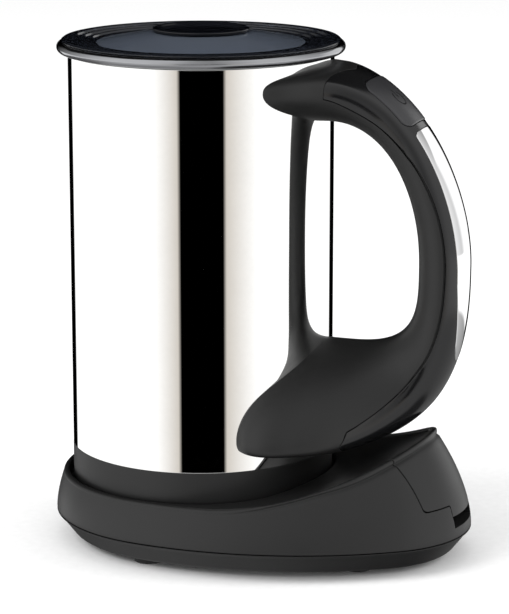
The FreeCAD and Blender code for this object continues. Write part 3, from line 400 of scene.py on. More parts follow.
def softened(corners: list[tuple[float, float, float]], steps: int = 7) -> np.ndarray:
    """A closed outline with rounded corners.

    Each corner (across, up, radius) becomes a parabola between its tangent points, with one more point
    just outside each end so that shading stays flat up to the bend.

    Args:
        corners: The outline's corners in order.
        steps: Points on each bend.

    Returns:
        The outline's points.
    """
    pieces = []
    places = np.array([corner[:2] for corner in corners], float)
    for index, corner in enumerate(corners):
        here = places[index]
        if not corner[2]:
            pieces.append(here[None])
            continue
        before = places[index - 1] - here
        after = places[(index + 1) % len(corners)] - here
        lengths = np.linalg.norm(before), np.linalg.norm(after)
        before, after = before / lengths[0], after / lengths[1]
        half = math.acos(np.clip(before @ after, -1, 1)) / 2
        reach = min(corner[2] / math.tan(half), 0.45 * min(lengths))
        start, end = here + before * reach, here + after * reach
        guard = min(0.08, 0.04 * min(lengths))
        pieces += [(start + before * guard)[None], bend(start, here, end, steps), (end + after * guard)[None]]
    return np.concatenate(pieces)


def turned(outline: np.ndarray, count: int = 256) -> Shape:
    """A closed outline carried once round the jug's axis: each point (r, z) becomes a ring of radius r.

    Args:
        outline: Points (r, z) in order.
        count: Points round the axis.

    Returns:
        The closed shape.
    """
    angle = full_turn(count)
    radius, height = outline[:, :1], outline[:, 1:]
    grid = np.stack([radius * np.cos(angle), radius * np.sin(angle), height + 0 * angle], -1)
    return tube(grid)


def swept_wire(path: np.ndarray, radius: float, count: int) -> Shape:
    """A round wire along a path whose end meets its start.

    At each point the ring stands square to the path, turned by a frame made from the path's direction
    and the outward direction from the jug's axis.

    Args:
        path: The wire's middle line.
        radius: Half its thickness.
        count: Points round the wire.

    Returns:
        The closed shape.
    """
    ahead = np.roll(path, -1, 0) - np.roll(path, 1, 0)
    ahead /= np.linalg.norm(ahead, axis=1, keepdims=True)
    outward = path * np.array([1, 1, 0.3]) + np.array([0, 0, 7.0])
    side = np.cross(ahead, outward)
    side /= np.linalg.norm(side, axis=1, keepdims=True)
    up = np.cross(side, ahead)
    angle = full_turn(count)
    grid = (path[:, None] + radius * (np.cos(angle)[None, :, None] * side[:, None]
                                      + np.sin(angle)[None, :, None] * up[:, None]))
    return tube(grid)


def block(low: tuple, high: tuple) -> Shape:
    """A plain box, used only as a cutter.

    Args:
        low: Its lowest corner.
        high: Its highest corner.

    Returns:
        The closed shape.
    """
    x0, y0, z0 = low
    x1, y1, z1 = high
    ring = np.array([[x0, y0], [x1, y0], [x1, y1], [x0, y1]], float)
    grid = np.stack([np.column_stack([ring, np.full(4, z)]) for z in (z0, z1)])
    return capped(grid)


def add_object(name: str, data: bpy.types.ID) -> bpy.types.Object:
    """Puts a mesh, light or camera into the scene, at the origin."""
    made = bpy.data.objects.new(name, data)
    bpy.context.scene.collection.objects.link(made)
    return made


def make_mesh(name: str, shape: Shape, finish: Finish | None = None, sharp: float = 40.0) -> bpy.types.Object:
    """Puts a shape into the scene: doubles merged, faces outward, smooth with sharp edges kept.

    Args:
        name: The piece's name.
        shape: Its points and faces about the jug's axis.
        finish: Its material, or none for a cutter.
        sharp: Edges that bend by more degrees than this stay crisp.

    Returns:
        The object, at the origin.
    """
    mesh = bpy.data.meshes.new(name)
    mesh.from_pydata((shape.points * MM + AXIS).tolist(), [], shape.faces)
    work = bmesh.new()
    work.from_mesh(mesh)
    bmesh.ops.remove_doubles(work, verts=work.verts, dist=1e-7)
    bmesh.ops.dissolve_degenerate(work, edges=work.edges, dist=1e-8)
    bmesh.ops.recalc_face_normals(work, faces=work.faces)
    work.to_mesh(mesh)
    work.free()
    piece = add_object(name, mesh)
    if finish:
        dress(piece, finish, sharp)
    return piece


def dress(piece: bpy.types.Object, finish: Finish, sharp: float) -> None:
    """Gives a piece its material and its smooth and crisp edges.

    Args:
        piece: The piece.
        finish: Its material.
        sharp: Edges that bend by more degrees than this stay crisp.
    """
    piece.data.materials.clear()
    piece.data.materials.append(finish.material())
    piece.data.polygons.foreach_set("use_smooth", np.ones(len(piece.data.polygons), bool))
    piece.data.set_sharp_from_angle(angle=math.radians(sharp))
    piece.data.update()


class Cut(Enum):
    """What a cutter does to a piece."""

    AWAY = "DIFFERENCE"
    KEEP = "INTERSECT"


def cut(piece: bpy.types.Object, tool: bpy.types.Object, way: Cut = Cut.AWAY,
        drop_tool: bool = True) -> bpy.types.Object:
    """Cuts a piece with a tool and keeps the result in the piece's own mesh.

    Args:
        piece: The piece to cut.
        tool: The closed cutter.
        way: Whether the tool's inside is taken away or kept.
        drop_tool: Whether the tool is removed afterwards.

    Returns:
        The piece.
    """
    step = piece.modifiers.new("cut", "BOOLEAN")
    step.operation = way.value
    step.solver = "EXACT"
    step.object = tool
    graph = bpy.context.evaluated_depsgraph_get()
    result = bpy.data.meshes.new_from_object(piece.evaluated_get(graph))
    piece.modifiers.clear()
    old = piece.data
    piece.data = result
    bpy.data.meshes.remove(old)
    if drop_tool:
        bpy.data.objects.remove(tool)
    return piece


def settle(piece: bpy.types.Object, body: str, slot: str, *nodes: str) -> bpy.types.Object:
    """Rides a finished piece on its body and hides the CAD nodes it stands for.

    Args:
        piece: The piece.
        body: The body it moves with.
        slot: Its slot; not used.
        nodes: The CAD nodes it replaces, if any.

    Returns:
        The piece.
    """
    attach(piece, body)
    if nodes:
        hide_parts(*nodes)
    LOG.info("%s: %d faces on %s", piece.name, len(piece.data.polygons), body)
    return piece


def edge_steps(length: float, rounding: float, count: int) -> tuple[np.ndarray, np.ndarray]:
    """Places across a band that crowd towards its two edges, and how far each sinks into the rounding.

    The rounding is a quarter circle: at the distance d from the edge the surface lies
    rounding - sqrt(rounding^2 - (rounding - d)^2) below the top.

    Args:
        length: The band's width.
        rounding: Radius of its edges.
        count: Points between the two roundings.

    Returns:
        The places from zero to length, and the drop at each.
    """
    near = np.append(rounding * EDGE_SHARES, rounding + 0.08)
    middle = np.linspace(near[-1], length - near[-1], count + 2)[1:-1]
    places = np.concatenate([near, middle, length - near[::-1]])
    inside = np.clip(rounding - np.minimum(places, length - places), 0, rounding)
    return places, rounding - np.sqrt(rounding ** 2 - inside ** 2)


def side_steps(limit: np.ndarray, scale: np.ndarray, rounding: float) -> tuple[np.ndarray, np.ndarray]:
    """Places across each row from one side to the other that crowd into the edge roundings.

    Args:
        limit: Where the row ends on the positive side, for every grid point.
        scale: Millimetres for each unit of limit, for every grid point.
        rounding: Radius of the edges.

    Returns:
        The places, a grid, and the drop of each column as edge_steps gives it.
    """
    edge = rounding * np.append(EDGE_SHARES, 1.15)
    count, columns = len(edge), limit.shape[1]
    places = np.empty(limit.shape)
    spread = np.linspace(-1, 1, columns - 2 * count + 2)[1:-1]
    places[:, count:-count] = spread[None] * (limit - edge[-1] / scale)[:, count:-count]
    places[:, :count] = -limit[:, :count] + edge / scale[:, :count]
    places[:, -count:] = limit[:, -count:] - edge[::-1] / scale[:, -count:]
    edge_drop = rounding - np.sqrt(rounding ** 2 - np.clip(rounding - edge, 0, None) ** 2)
    drop = np.zeros(columns)
    drop[:count], drop[-count:] = edge_drop, edge_drop[::-1]
    return places, drop


# ---------------------------------------------------------------- handle

@dataclass
class HandleForm:
    """The handle's outer skin as a function of two angles.

    turn runs from the upper pad (over 90) round the bow (0 is level) to the lower wing (under -90).
    around runs about the section: 0 is the back of the handle, pi the side towards the jug.
    """

    centre_x: float = 50.0
    centre_z: float = 108.0
    outer: tuple = (51.0, 69.7, 66.5, 1.8, 2.5)
    inner: tuple = (33.2, 49.7, 30.2, 2.1, 3.4)
    pad_pitch: float = 1.1
    widths: tuple = ((-112, 36.5), (-110, 39.2), (-107.3, 42.8), (-103.6, 44.6), (-99.1, 44.2), (-94.6, 42.4),
                     (-90, 38.8), (-84, 34.3), (-76, 28.1), (-68, 23.2), (-58, 18.6), (-48, 15.4), (-35, 13.5),
                     (0, 12.5), (45, 12.9), (60, 14.1), (70, 15.8), (80, 18.65), (90, 23.1), (95.5, 29.0),
                     (100.9, 32.7), (110, 33.0), (112, 33.0))
    shares: tuple = ((-90, 0.15), (-60, 0.3), (-30, 0.45), (30, 0.48), (60, 0.42), (90, 0.37))
    powers: tuple = ((-90, 4.2), (-76, 3.4), (-60, 2.5), (-50, 2.2), (0, 2.0), (30, 2.3), (50, 2.8),
                     (90, 2.8))
    inner_powers: tuple = ((-90, 1.6), (-80, 1.7), (-70, 1.82), (-60, 1.92), (-45, 2.0), (-30, 2.0))
    seam_angles: tuple = ((-90, 90), (-78, 93), (-67, 96), (-54, 96), (-40, 93), (-28, 84), (-17, 80),
                          (-7.5, 76), (1, 74), (13, 74), (23, 76), (33, 82), (43, 91), (49, 95), (58, 100),
                          (68, 106), (75, 106), (84, 98), (90, 98))
    turns: np.ndarray = field(init=False)
    lengths: np.ndarray = field(init=False)
    tables: dict = field(init=False)

    def __post_init__(self) -> None:
        """Works out the outline's length table and smooths the knots along it."""
        self.turns = np.linspace(112, -112, 4481)
        across, up = self.outline(self.turns, self.outer)
        step = np.hypot(np.diff(across), np.diff(up))
        self.lengths = np.concatenate([[0.0], np.cumsum(step)])
        self.tables = {key: self.smoothed(knots, reach) for key, knots, reach in (
            ("width", self.widths, 3.0), ("share", self.shares, 6.0), ("power", self.powers, 6.0),
            ("inner_power", self.inner_powers, 6.0), ("seam", self.seam_angles, 4.0))}

    def smoothed(self, knots: tuple, reach: float) -> np.ndarray:
        """Knots in turn as a table, averaged with a bell curve along the outline.

        Args:
            knots: Each a turn and a value.
            reach: The bell curve's width, in millimetres.

        Returns:
            One value for each entry of turns.
        """
        places = np.linspace(0, self.lengths[-1], 2801)
        pitch = places[1]
        values = knotted(np.interp(places, self.lengths, self.turns), knots)
        offsets = np.arange(-int(3 * reach / pitch), int(3 * reach / pitch) + 1)
        bell = np.exp(-0.5 * (offsets * pitch / reach) ** 2)
        padded = np.pad(values, len(offsets) // 2, mode="reflect", reflect_type="odd")
        averaged = np.convolve(padded, bell / bell.sum(), mode="valid")
        return np.interp(self.lengths, places, averaged)

    def outline(self, turn: np.ndarray, sizes: tuple) -> tuple[np.ndarray, np.ndarray]:
        """One of the two outlines in the upright plane.

        A super-ellipse, x = reach cos^(2/p) and z = height sin^(2/p), with its own height and power above
        and below; past 90 degrees it runs level towards the jug.

        Args:
            turn: Angles round the handle, in degrees.
            sizes: Reach, height above and below, and power above and below.

        Returns:
            The distance across from the jug's axis, and the height.
        """
        reach, rise, drop, power_up, power_down = sizes
        bow = np.radians(np.clip(turn, -90, 90))
        cosine = np.maximum(np.cos(bow), 0)
        sine = np.sin(bow)
        power = np.where(sine >= 0, power_up, power_down)
        height = np.where(sine >= 0, rise, drop)
        across = self.centre_x + reach * cosine ** (2 / power)
        across = across - self.pad_pitch * np.maximum(np.abs(turn) - 90, 0)
        return across, self.centre_z + np.sign(sine) * height * np.abs(sine) ** (2 / power)

    def look_up(self, key: str, turn: np.ndarray) -> np.ndarray:
        """A smoothed knot value at each turn."""
        return np.interp(-turn, -self.turns, self.tables[key])

    def length_at(self, turn: np.ndarray) -> np.ndarray:
        """Distance along the outer outline from the upper end to each turn."""
        return np.interp(-np.asarray(turn, float), -self.turns, self.lengths)

    def turn_at(self, length: np.ndarray) -> np.ndarray:
        """The turn at each distance along the outer outline."""
        return np.interp(length, self.lengths, self.turns)

    def skin(self, turn: np.ndarray, around: np.ndarray) -> np.ndarray:
        """Points of the skin.

        The section's middle lies between the two outlines; a point leaves it by |cos|^(2/n) towards the
        outline it faces, and sideways by width |sin|^(2/n).

        Args:
            turn: Angle round the handle, in degrees.
            around: Angle about the section, in radians.

        Returns:
            Points with the shape of the arguments.
        """
        turn, around = np.broadcast_arrays(turn, around)
        outer_x, outer_z = self.outline(turn, self.outer)
        inner_x, inner_z = self.outline(turn, self.inner)
        share = self.look_up("share", turn)
        middle_x = outer_x + (inner_x - outer_x) * share
        middle_z = outer_z + (inner_z - outer_z) * share
        cosine, sine = np.cos(around), np.sin(around)
        power = np.where(cosine >= 0, self.look_up("power", turn), self.look_up("inner_power", turn))
        reach = np.abs(cosine) ** (2 / power)
        end_x = np.where(cosine >= 0, outer_x, inner_x)
        end_z = np.where(cosine >= 0, outer_z, inner_z)
        side = self.look_up("width", turn) * np.sign(sine) * np.abs(sine) ** (2 / power)
        return np.stack([middle_x + (end_x - middle_x) * reach, side,
                         middle_z + (end_z - middle_z) * reach], -1)

    def lifted(self, turn: np.ndarray, around: np.ndarray, lift: np.ndarray | float) -> np.ndarray:
        """Skin points moved out along the skin's normal, found from points a little to each side.

        Args:
            turn: Angle round the handle, in degrees.
            around: Angle about the section, in radians.
            lift: Millimetres outwards.

        Returns:
            Points with the shape of the arguments.
        """
        turn, around, lift = np.broadcast_arrays(turn, around, lift)
        here = self.skin(turn, around)
        along = self.skin(turn + 0.4, around) - self.skin(turn - 0.4, around)
        across = self.skin(turn, around + 0.02) - self.skin(turn, around - 0.02)
        normal = np.cross(along, across)
        normal /= np.linalg.norm(normal, axis=-1, keepdims=True)
        inside = self.skin(turn, around + np.pi)
        normal *= np.sign(np.sum(normal * (here - inside), -1, keepdims=True))
        return here + normal * lift[..., None]

    def angle_at(self, turn: np.ndarray, side: np.ndarray) -> np.ndarray:
        """The angle about the section at which the back of the handle is this many millimetres aside."""
        share = np.clip(np.abs(side) / self.look_up("width", turn), 0, 1)
        return np.sign(side) * np.arcsin(share ** (self.look_up("power", turn) / 2))


@dataclass
class Handle:
    """Grip, spine shell, chrome strip, power button and its printed symbol."""

    form: HandleForm = field(default_factory=HandleForm)
    sleeve_radius: float = 47.8
    bed_depth: float = 1.25
    bed_gap: float = 0.1
    spine_depth: float = 1.15
    spine_gap: tuple = ((-78, 0.12), (-60, 0.2), (-45, 0.5), (-32, 0.8), (0, 0.85), (30, 0.8), (45, 0.5),
                        (58, 0.2), (85, 0.12))
    spine_rounding: float = 0.25
    spine_top: tuple = ((0, 78.5), (0.1, 78.95), (0.2, 79.86), (0.5, 81.9), (0.68, 83.15), (0.86, 84.2),
                        (0.957, 84.7), (1.0, 85.0))
    tongue_turn: float = -79.5
    tongue_round: float = 9.0
    tongue_flat: float = 0.62
    strip_turns: tuple = (46.5, -26.0)
    strip_widths: tuple = ((-26, 1.3), (-24.5, 3.0), (-21, 5.0), (-16, 6.2), (-10, 7.3), (-2, 8.26), (8, 8.6),
                           (30, 8.8), (46.5, 9.2))
    strip_corners: tuple = (2.2, 0.9)
    strip_depth: float = 0.9
    strip_proud: float = 0.12
    strip_rounding: float = 0.3
    strip_gap: float = 0.12
    button_turns: tuple = (70.6, 48.8)
    button_widths: tuple = ((48.8, 11.0), (70.6, 12.0))
    button_corners: tuple = (4.0, 4.0)
    button_depth: float = 2.4
    button_proud: float = 0.3
    button_rounding: float = 0.5
    button_gap: float = 0.25
    crisp: float = 0.05
    band_columns: int = 40
    symbol_turn: float = 59.0
    symbol_side: float = -0.6
    symbol_radius: float = 3.1
    symbol_line: float = 0.27

    def spine_grid(self, bed: bool, rounding: float) -> tuple[np.ndarray, np.ndarray, np.ndarray]:
        """The spine's region, or the slightly larger bed it lies in.

        Its upper edge is an arc that hollows towards the pad; its lower end is a rounded tongue.

        Args:
            bed: Whether the bed is meant.
            rounding: Radius of its edges.

        Returns:
            Grids of the turn, of the angle and of the drop.
        """
        form = self.form
        share = edge_steps(2.0, 0.02, 62)[0] - 1
        angle = np.radians(np.abs(share) * 100)
        sideways = np.where(angle < np.pi / 2, np.sin(np.minimum(angle, np.pi / 2)) ** 0.714, 1.0)
        grow = self.bed_gap if bed else 0.0
        top = form.length_at(knotted(sideways, self.spine_top)) - grow
        flat = self.tongue_flat
        past = np.clip((np.abs(share) - flat) / (1 - flat), 0, 1)
        short = np.clip((flat - np.abs(share)) / flat, 0, 1)
        corner = self.tongue_round * (1 - np.sqrt(1 - past ** 2 * 0.999))
        bottom = form.length_at(self.tongue_turn + corner + short ** 2) + grow
        rows, end_drop = edge_steps(float(np.mean(bottom - top)), rounding, 150)
        length = top + (bottom - top) * (rows / rows[-1])[:, None]
        turn = form.turn_at(length)
        limit = np.radians(form.look_up("seam", turn))
        scale = np.linalg.norm(form.skin(turn, limit) - form.skin(turn, limit - 0.03), axis=-1) / 0.03
        limit = limit + (grow if bed else -knotted(turn, self.spine_gap)) / scale
        around, drop = side_steps(limit, scale, rounding)
        return turn, around, np.minimum(drop[None] + end_drop[:, None], rounding)

    def band_grid(self, turns: tuple, widths: tuple, corners: tuple, grow: float,
                  rounding: float) -> tuple[np.ndarray, np.ndarray, np.ndarray]:
        """A band on the handle's back with rounded corners: turn, angle and drop at each grid point.

        Args:
            turns: Where it starts and ends.
            widths: Half-width knots by turn.
            corners: Corner radius at its start and at its end.
            grow: Millimetres added all round.
            rounding: Radius of its edges.

        Returns:
            Three grids of the same shape.
        """
        form = self.form
        start, end = form.length_at(np.array(turns)) + np.array([-grow, grow])
        rows, end_drop = edge_steps(end - start, rounding, 90)
        fine = np.linspace(0, 1, 9)[1:-1] ** 1.6
        extra = np.concatenate([rows[6] + fine * corners[0], rows[-7] - fine * corners[1]])
        order = np.argsort(np.concatenate([rows, extra]))
        end_drop = np.concatenate([end_drop, np.zeros(len(extra))])[order]
        rows = np.concatenate([rows, extra])[order]
        turn = form.turn_at(start + rows)
        width = knotted(turn, widths) + grow
        for radius, distance in ((corners[0] + grow, rows), (corners[1] + grow, rows[-1] - rows)):
            inside = np.clip(radius - distance, 0, radius)
            width = width - (radius - np.sqrt(radius ** 2 - inside ** 2))
        limit = np.repeat(width[:, None], self.band_columns, axis=1)
        side, drop = side_steps(limit, np.ones_like(limit), rounding)
        turn = np.broadcast_to(turn[:, None], side.shape)
        return turn, form.angle_at(turn, side), np.minimum(drop[None] + end_drop[:, None], rounding)

    def sheet_slab(self, grids: tuple, high: float, low: float) -> Shape:
        """A slab that follows the skin between two lifts, its top edges dropping into their rounding.

        Args:
            grids: Turn, angle and drop at each grid point.
            high: Lift of the upper face over the skin.
            low: Lift of the lower face, negative under the skin.

        Returns:
            The closed shape.
        """
        turn, around, drop = grids
        return slab(self.form.lifted(turn, around, high - drop), self.form.lifted(turn, around, low))

    def pressed_slab(self, grids: tuple, high: float, rise: float, low: float) -> Shape:
        """A slab under the skin whose walls run along the way the button travels, so that it slides freely.

        Args:
            grids: Turn, angle and drop at each grid point.
            high: Lift of the upper face over the skin.
            rise: How far the upper face is carried outwards along the travel.
            low: How far the lower face is carried along it, negative inwards.

        Returns:
            The closed shape.
        """
        turn, around, drop = grids
        middle, straight_out = np.array([sum(self.button_turns) / 2]), np.zeros(1)
        way = (self.form.lifted(middle, straight_out, 1.0) - self.form.lifted(middle, straight_out, 0.0))[0]
        return slab(self.form.lifted(turn, around, high - drop) + rise * way,
                    self.form.lifted(turn, around, 0.0) + low * way)

    def strip_grids(self, grow: float, rounding: float) -> tuple:
        """The chrome strip's region."""
        return self.band_grid(self.strip_turns, self.strip_widths, self.strip_corners, grow, rounding)

    def button_grids(self, grow: float, rounding: float) -> tuple:
        """The power button's region."""
        return self.band_grid(self.button_turns, self.button_widths, self.button_corners, grow, rounding)

    def core(self) -> bpy.types.Object:
        """The cutter that trims the handle where the sleeve stands."""
        radius = self.sleeve_radius
        outline = softened([(0, 20, 0), (radius, 20, 0), (radius, 200, 0), (0, 200, 0)])
        return make_mesh("core", turned(outline, 360))

    def body(self) -> bpy.types.Object:
        """The whole handle as one closed skin, cut off at the sleeve."""
        form = self.form
        turn = form.turn_at(np.linspace(0, form.lengths[-1], 230))
        quarter = np.linspace(0, np.pi / 2, 31)
        quarter = quarter + 0.12 * np.sin(4 * quarter) / 4
        around = np.concatenate([quarter[:-1] + k * np.pi / 2 for k in range(4)])
        whole = make_mesh("handle_body", capped(form.skin(turn[:, None], around[None])))
        return cut(whole, self.core())

    def build(self) -> None:
        """Makes and dresses every piece of the handle."""
        grip = self.body()
        bed = make_mesh("bed", self.sheet_slab(self.spine_grid(True, self.crisp), 6.0, -self.bed_depth))
        pocket = make_mesh("pocket", self.pressed_slab(self.button_grids(self.button_gap, self.crisp),
                                                       0.0, 6.0, -5.0))
        cut(grip, bed)
        cut(grip, pocket, drop_tool=False)
        grip.name = grip.data.name = "grip_moulding"
        dress(grip, SOFT_BLACK, 40)
        settle(grip, "jug", "grip_plastic", "handle_grip")

        spine = make_mesh("spine_shell", self.sheet_slab(self.spine_grid(False, self.spine_rounding),
                                                         0.0, -self.spine_depth))
        strip_bed = self.sheet_slab(self.strip_grids(self.strip_gap, self.crisp), 4.0, -self.strip_depth)
        cut(spine, make_mesh("strip_bed", strip_bed))
        cut(spine, pocket)
        cut(spine, self.core())
        dress(spine, GLOSS_BLACK, 40)
        settle(spine, "jug", "spine_plastic", "handle_spine")

        inlay = self.sheet_slab(self.strip_grids(0.0, self.strip_rounding), self.strip_proud,
                                -self.strip_depth)
        settle(make_mesh("chrome_inlay", inlay, CHROME), "jug", "strip_chrome", "chrome_strip")
        cap = self.pressed_slab(self.button_grids(0.0, self.button_rounding), self.button_proud,
                                0.0, -self.button_depth)
        settle(make_mesh("power_button_cap", cap, BUTTON_BLACK), "button", "button_plastic", "power_button")
        self.symbol()

    def symbol(self) -> None:
        """The printed power sign: an open ring with a stroke in its gap, on the button's crown."""
        form = self.form
        start = float(form.length_at(self.symbol_turn))
        edge = np.array([-1.0, 1.0])
        shapes = []
        angle = np.radians(np.linspace(38, 322, 61))[:, None]
        radius = self.symbol_radius + self.symbol_line * edge[None]
        ring = (-radius * np.cos(angle), radius * np.sin(angle))
        place = np.linspace(-self.symbol_radius - 0.9, -0.3, 12)[:, None]
        stroke = np.broadcast_arrays(place, self.symbol_line * edge[None])
        for along, side in (ring, stroke):
            turn = form.turn_at(start + along)
            around = form.angle_at(turn, side + self.symbol_side)
            shapes.append(slab(form.lifted(turn, around, 0.33), form.lifted(turn, around, 0.2)))
        settle(make_mesh("power_symbol", joined(shapes), PRINT_BLACK), "button", "button_plastic")


# ---------------------------------------------------------------- base

@dataclass
class PowerBase:
    """Domed upper shell, heel cover and tray, drawn on a four-arc oval."""

    front_radius: float = 54.5
    rear_radius: float = 38.0
    side_radius: float = 130.0
    rear_reach: float = 102.2
    parting: float = 10.5
    parting_gap: float = 0.16
    dome_inset: float = 14.0
    dome_rise: float = 35.0
    dome_power: float = 1.7
    lip_height: float = 25.3
    lip_flat: float = 18.0
    lip_radius: float = 126.8
    lip_rounding: float = 1.5
    peak_rounding: float = 1.2
    recess_radius: float = 49.6
    recess_floor: float = 21.0
    hole_radius: float = 6.9
    under_radius: float = 46.0
    wall: float = 2.2
    heel_span: tuple = (26.0, 48.0)
    peak_span: tuple = (55.0, 72.0)
    heel_thinning: float = 0.7
    notch_depth: float = 0.5
    notch_drop: float = 1.6
    notch_profile: tuple = ((1.1, 0.55), (0.75, 1.0), (0.45, 1.0), (0.25, 0.6), (0.1, 0.1))
    brim_rounding: float = 0.5
    band_width: float = 1.25
    band_step: float = 0.6
    band_profile: tuple = ((0.5, 0.0), (1.0, 0.0), (1.06, 0.5), (1.12, 1.0), (1.3, 1.0))
    tray_inset: float = 6.5
    tray_low: float = 2.0
    cover_front: float = 62.0
    cover_back: float = 112.0
    cover_half: float = 22.0
    cover_low: float = 22.7
    cutter_top: float = 62.0
    cutter_proud: float = 4.0
    slot_half: float = 10.3
    slot_low: float = 14.4
    slot_high: float = 18.6
    seam: float = 0.4
    screw_places: tuple = ((-28.0, 22.0), (-28.0, -22.0), (53.0, 27.0), (53.0, -27.0))
    screw_recess: float = 3.2
    foot_places: tuple = ((-40.0, 0.0), (-5.5, 39.9), (-5.5, -39.9), (67.7, 22.6), (67.7, -22.6))
    foot_radius: float = 5.5
    count: int = 360
    arcs: tuple = field(init=False)

    def __post_init__(self) -> None:
        """Places the four arcs' centres and shares the points out by length."""
        front, rear, side = self.front_radius, self.rear_radius, self.side_radius
        rear_x = self.rear_reach - rear
        side_x = ((side - front) ** 2 - (side - rear) ** 2 + rear_x ** 2) / (2 * rear_x)
        side_y = math.sqrt((side - front) ** 2 - side_x ** 2)
        front_join = math.atan2(side_y, -side_x)
        rear_join = math.atan2(side_y, rear_x - side_x)
        self.arcs = ((rear_x, 0.0, rear, -rear_join, rear_join),
                     (side_x, -side_y, side, rear_join, front_join),
                     (0.0, 0.0, front, front_join, 2 * math.pi - front_join),
                     (side_x, side_y, side, -front_join, -rear_join))

    def oval(self, inset: np.ndarray) -> np.ndarray:
        """The outline drawn in by inset.

        Each arc keeps its centre and gives up the inset from its radius.

        Args:
            inset: One value for each row, or a grid of rows by points.

        Returns:
            Rows of (x, y) points round the outline.
        """
        spans = np.array([arc[2] * abs(arc[4] - arc[3]) for arc in self.arcs])
        ends = np.concatenate([[0], np.cumsum(spans)])
        place = np.arange(self.count) * ends[-1] / self.count
        which = np.clip(np.searchsorted(ends, place, side="right") - 1, 0, 3)
        table = np.array(self.arcs)
        centre_x, centre_y, radius, first, last = table[which].T
        angle = first + (last - first) * (place - ends[which]) / spans[which]
        reach = radius - inset
        return np.stack([centre_x + reach * np.cos(angle), centre_y + reach * np.sin(angle)], -1)

    def lean(self, height: np.ndarray) -> np.ndarray:
        """How far the dome has leaned in at a height: inset times a power of the share of the rise."""
        share = np.maximum(0, (height - self.parting) / self.dome_rise)
        return self.dome_inset * share ** self.dome_power

    def lip(self, across: np.ndarray) -> np.ndarray:
        """Height of the lip at x: level in front, then a large arc that climbs to the heel."""
        past = np.clip(across - self.lip_flat, 0, self.lip_radius * 0.99)
        return self.lip_height + self.lip_radius - np.sqrt(self.lip_radius ** 2 - past ** 2)

    def lip_line(self) -> np.ndarray:
        """Height at which the dome meets the lip, for every point of the outline, found by repetition."""
        height = np.full(self.count, self.lip_height)
        for _ in range(60):
            height = 0.5 * height + 0.5 * self.lip(self.oval(self.lean(height)[None])[0, :, 0])
        return height

    def ring(self, inset: np.ndarray, height: np.ndarray) -> np.ndarray:
        """One row of the shell: the outline at an inset and a height, each one value or one a point."""
        flat = self.oval(np.broadcast_to(inset, (self.count,))[None])[0]
        return np.column_stack([flat, np.broadcast_to(height, (self.count,))])

    def shell(self) -> bpy.types.Object:
        """The upper shell as one closed skin, from the parting line over the lip and into the jug's cup."""
        top = self.lip_line()
        lean = self.lean(top)
        plan = self.oval(lean[None])[0]
        heel = eased(plan[:, 0], *self.heel_span)
        rounding = (self.lip_rounding * (1 - self.heel_thinning * heel)
                    + self.peak_rounding * eased(plan[:, 0], *self.peak_span))
        low = self.parting + self.parting_gap
        foot = low + 0.35
        rows = [self.ring(0.25, low), self.ring(0.05, low + 0.1), self.ring(self.lean(foot), foot)]
        wall_top = top - rounding - self.notch_drop * heel
        for share in np.linspace(0.06, 1, 26):
            height = foot + (wall_top - foot) * share
            rows.append(self.ring(self.lean(height), height))
        for below, depth in self.notch_profile:
            height = top - rounding - below * heel - 0.02 * below
            rows.append(self.ring(self.lean(height) + self.notch_depth * heel * depth, height))
        base_inset = self.lean(top - rounding)
        for angle in np.linspace(0, np.pi / 2, 7):
            flat = self.oval((base_inset + rounding * (1 - math.cos(angle)))[None])[0]
            rows.append(np.column_stack([flat, self.lip(flat[:, 0]) - rounding * (1 - math.sin(angle))]))
        edge = rows[-1][:, :2]
        reach = np.hypot(edge[:, 0], edge[:, 1])
        room = reach - self.recess_radius
        step_depth = self.band_step * heel
        band_end = self.band_profile[-1][0]
        start = np.minimum(band_end * self.band_width, room * 0.5)
        across = [(start * share / band_end, sunk) for share, sunk in self.band_profile]
        across += [(start + (room - self.brim_rounding - start) * share, 1.0)
                   for share in np.linspace(0.06, 1, 18)]
        for distance, sunk in across:
            flat = edge * (1 - distance / reach)[:, None]
            rows.append(np.column_stack([flat, self.lip(flat[:, 0]) - step_depth * sunk]))
        direction = edge / reach[:, None]
        brim = self.lip(direction[:, 0] * self.recess_radius) - step_depth
        for angle in np.linspace(0, np.pi / 2, 6)[1:]:
            radius = self.recess_radius + self.brim_rounding * (1 - math.sin(angle))
            height = brim - self.brim_rounding * (1 - math.cos(angle))
            rows.append(np.column_stack([direction * radius, height]))
        floor, hole = self.recess_floor, self.hole_radius
        for radius, height in ((self.recess_radius, floor + 1.0), (self.recess_radius - 0.15, floor + 0.4),
                               (self.recess_radius - 0.5, floor + 0.08), (self.recess_radius - 1.0, floor),
                               (hole + 0.4, floor), (hole, floor - 0.4), (hole, floor - self.wall),
                               (self.under_radius, floor - self.wall)):
            rows.append(np.column_stack([direction * radius, np.full(self.count, height)]))
        rows.append(self.ring(self.wall, low))
        return make_mesh("upper_shell", tube(np.stack(rows)))

    def skin_slab(self, outside: float, inside: float) -> Shape:
        """A thick piece of the dome's skin behind the heel, used as a cutter.

        Args:
            outside: Inset of its outer sheet from the skin, negative outwards.
            inside: Inset of its inner sheet.

        Returns:
            The closed shape.
        """
        heights = np.linspace(self.slot_low - 2, self.cutter_top, 60)
        keep = np.where(self.oval(np.zeros((1, self.count)))[0, :, 0] > self.cover_front)[0]
        keep = np.concatenate([keep[keep > self.count // 2], keep[keep < self.count // 2]])
        sheets = []
        for shift in (outside, inside):
            inset = self.lean(heights)[:, None] + shift
            flat = self.oval(np.broadcast_to(inset, (len(heights), self.count)))[:, keep]
            level = np.broadcast_to(heights[:, None, None], flat.shape[:2] + (1,))
            sheets.append(np.concatenate([flat, level], -1))
        return slab(*sheets)

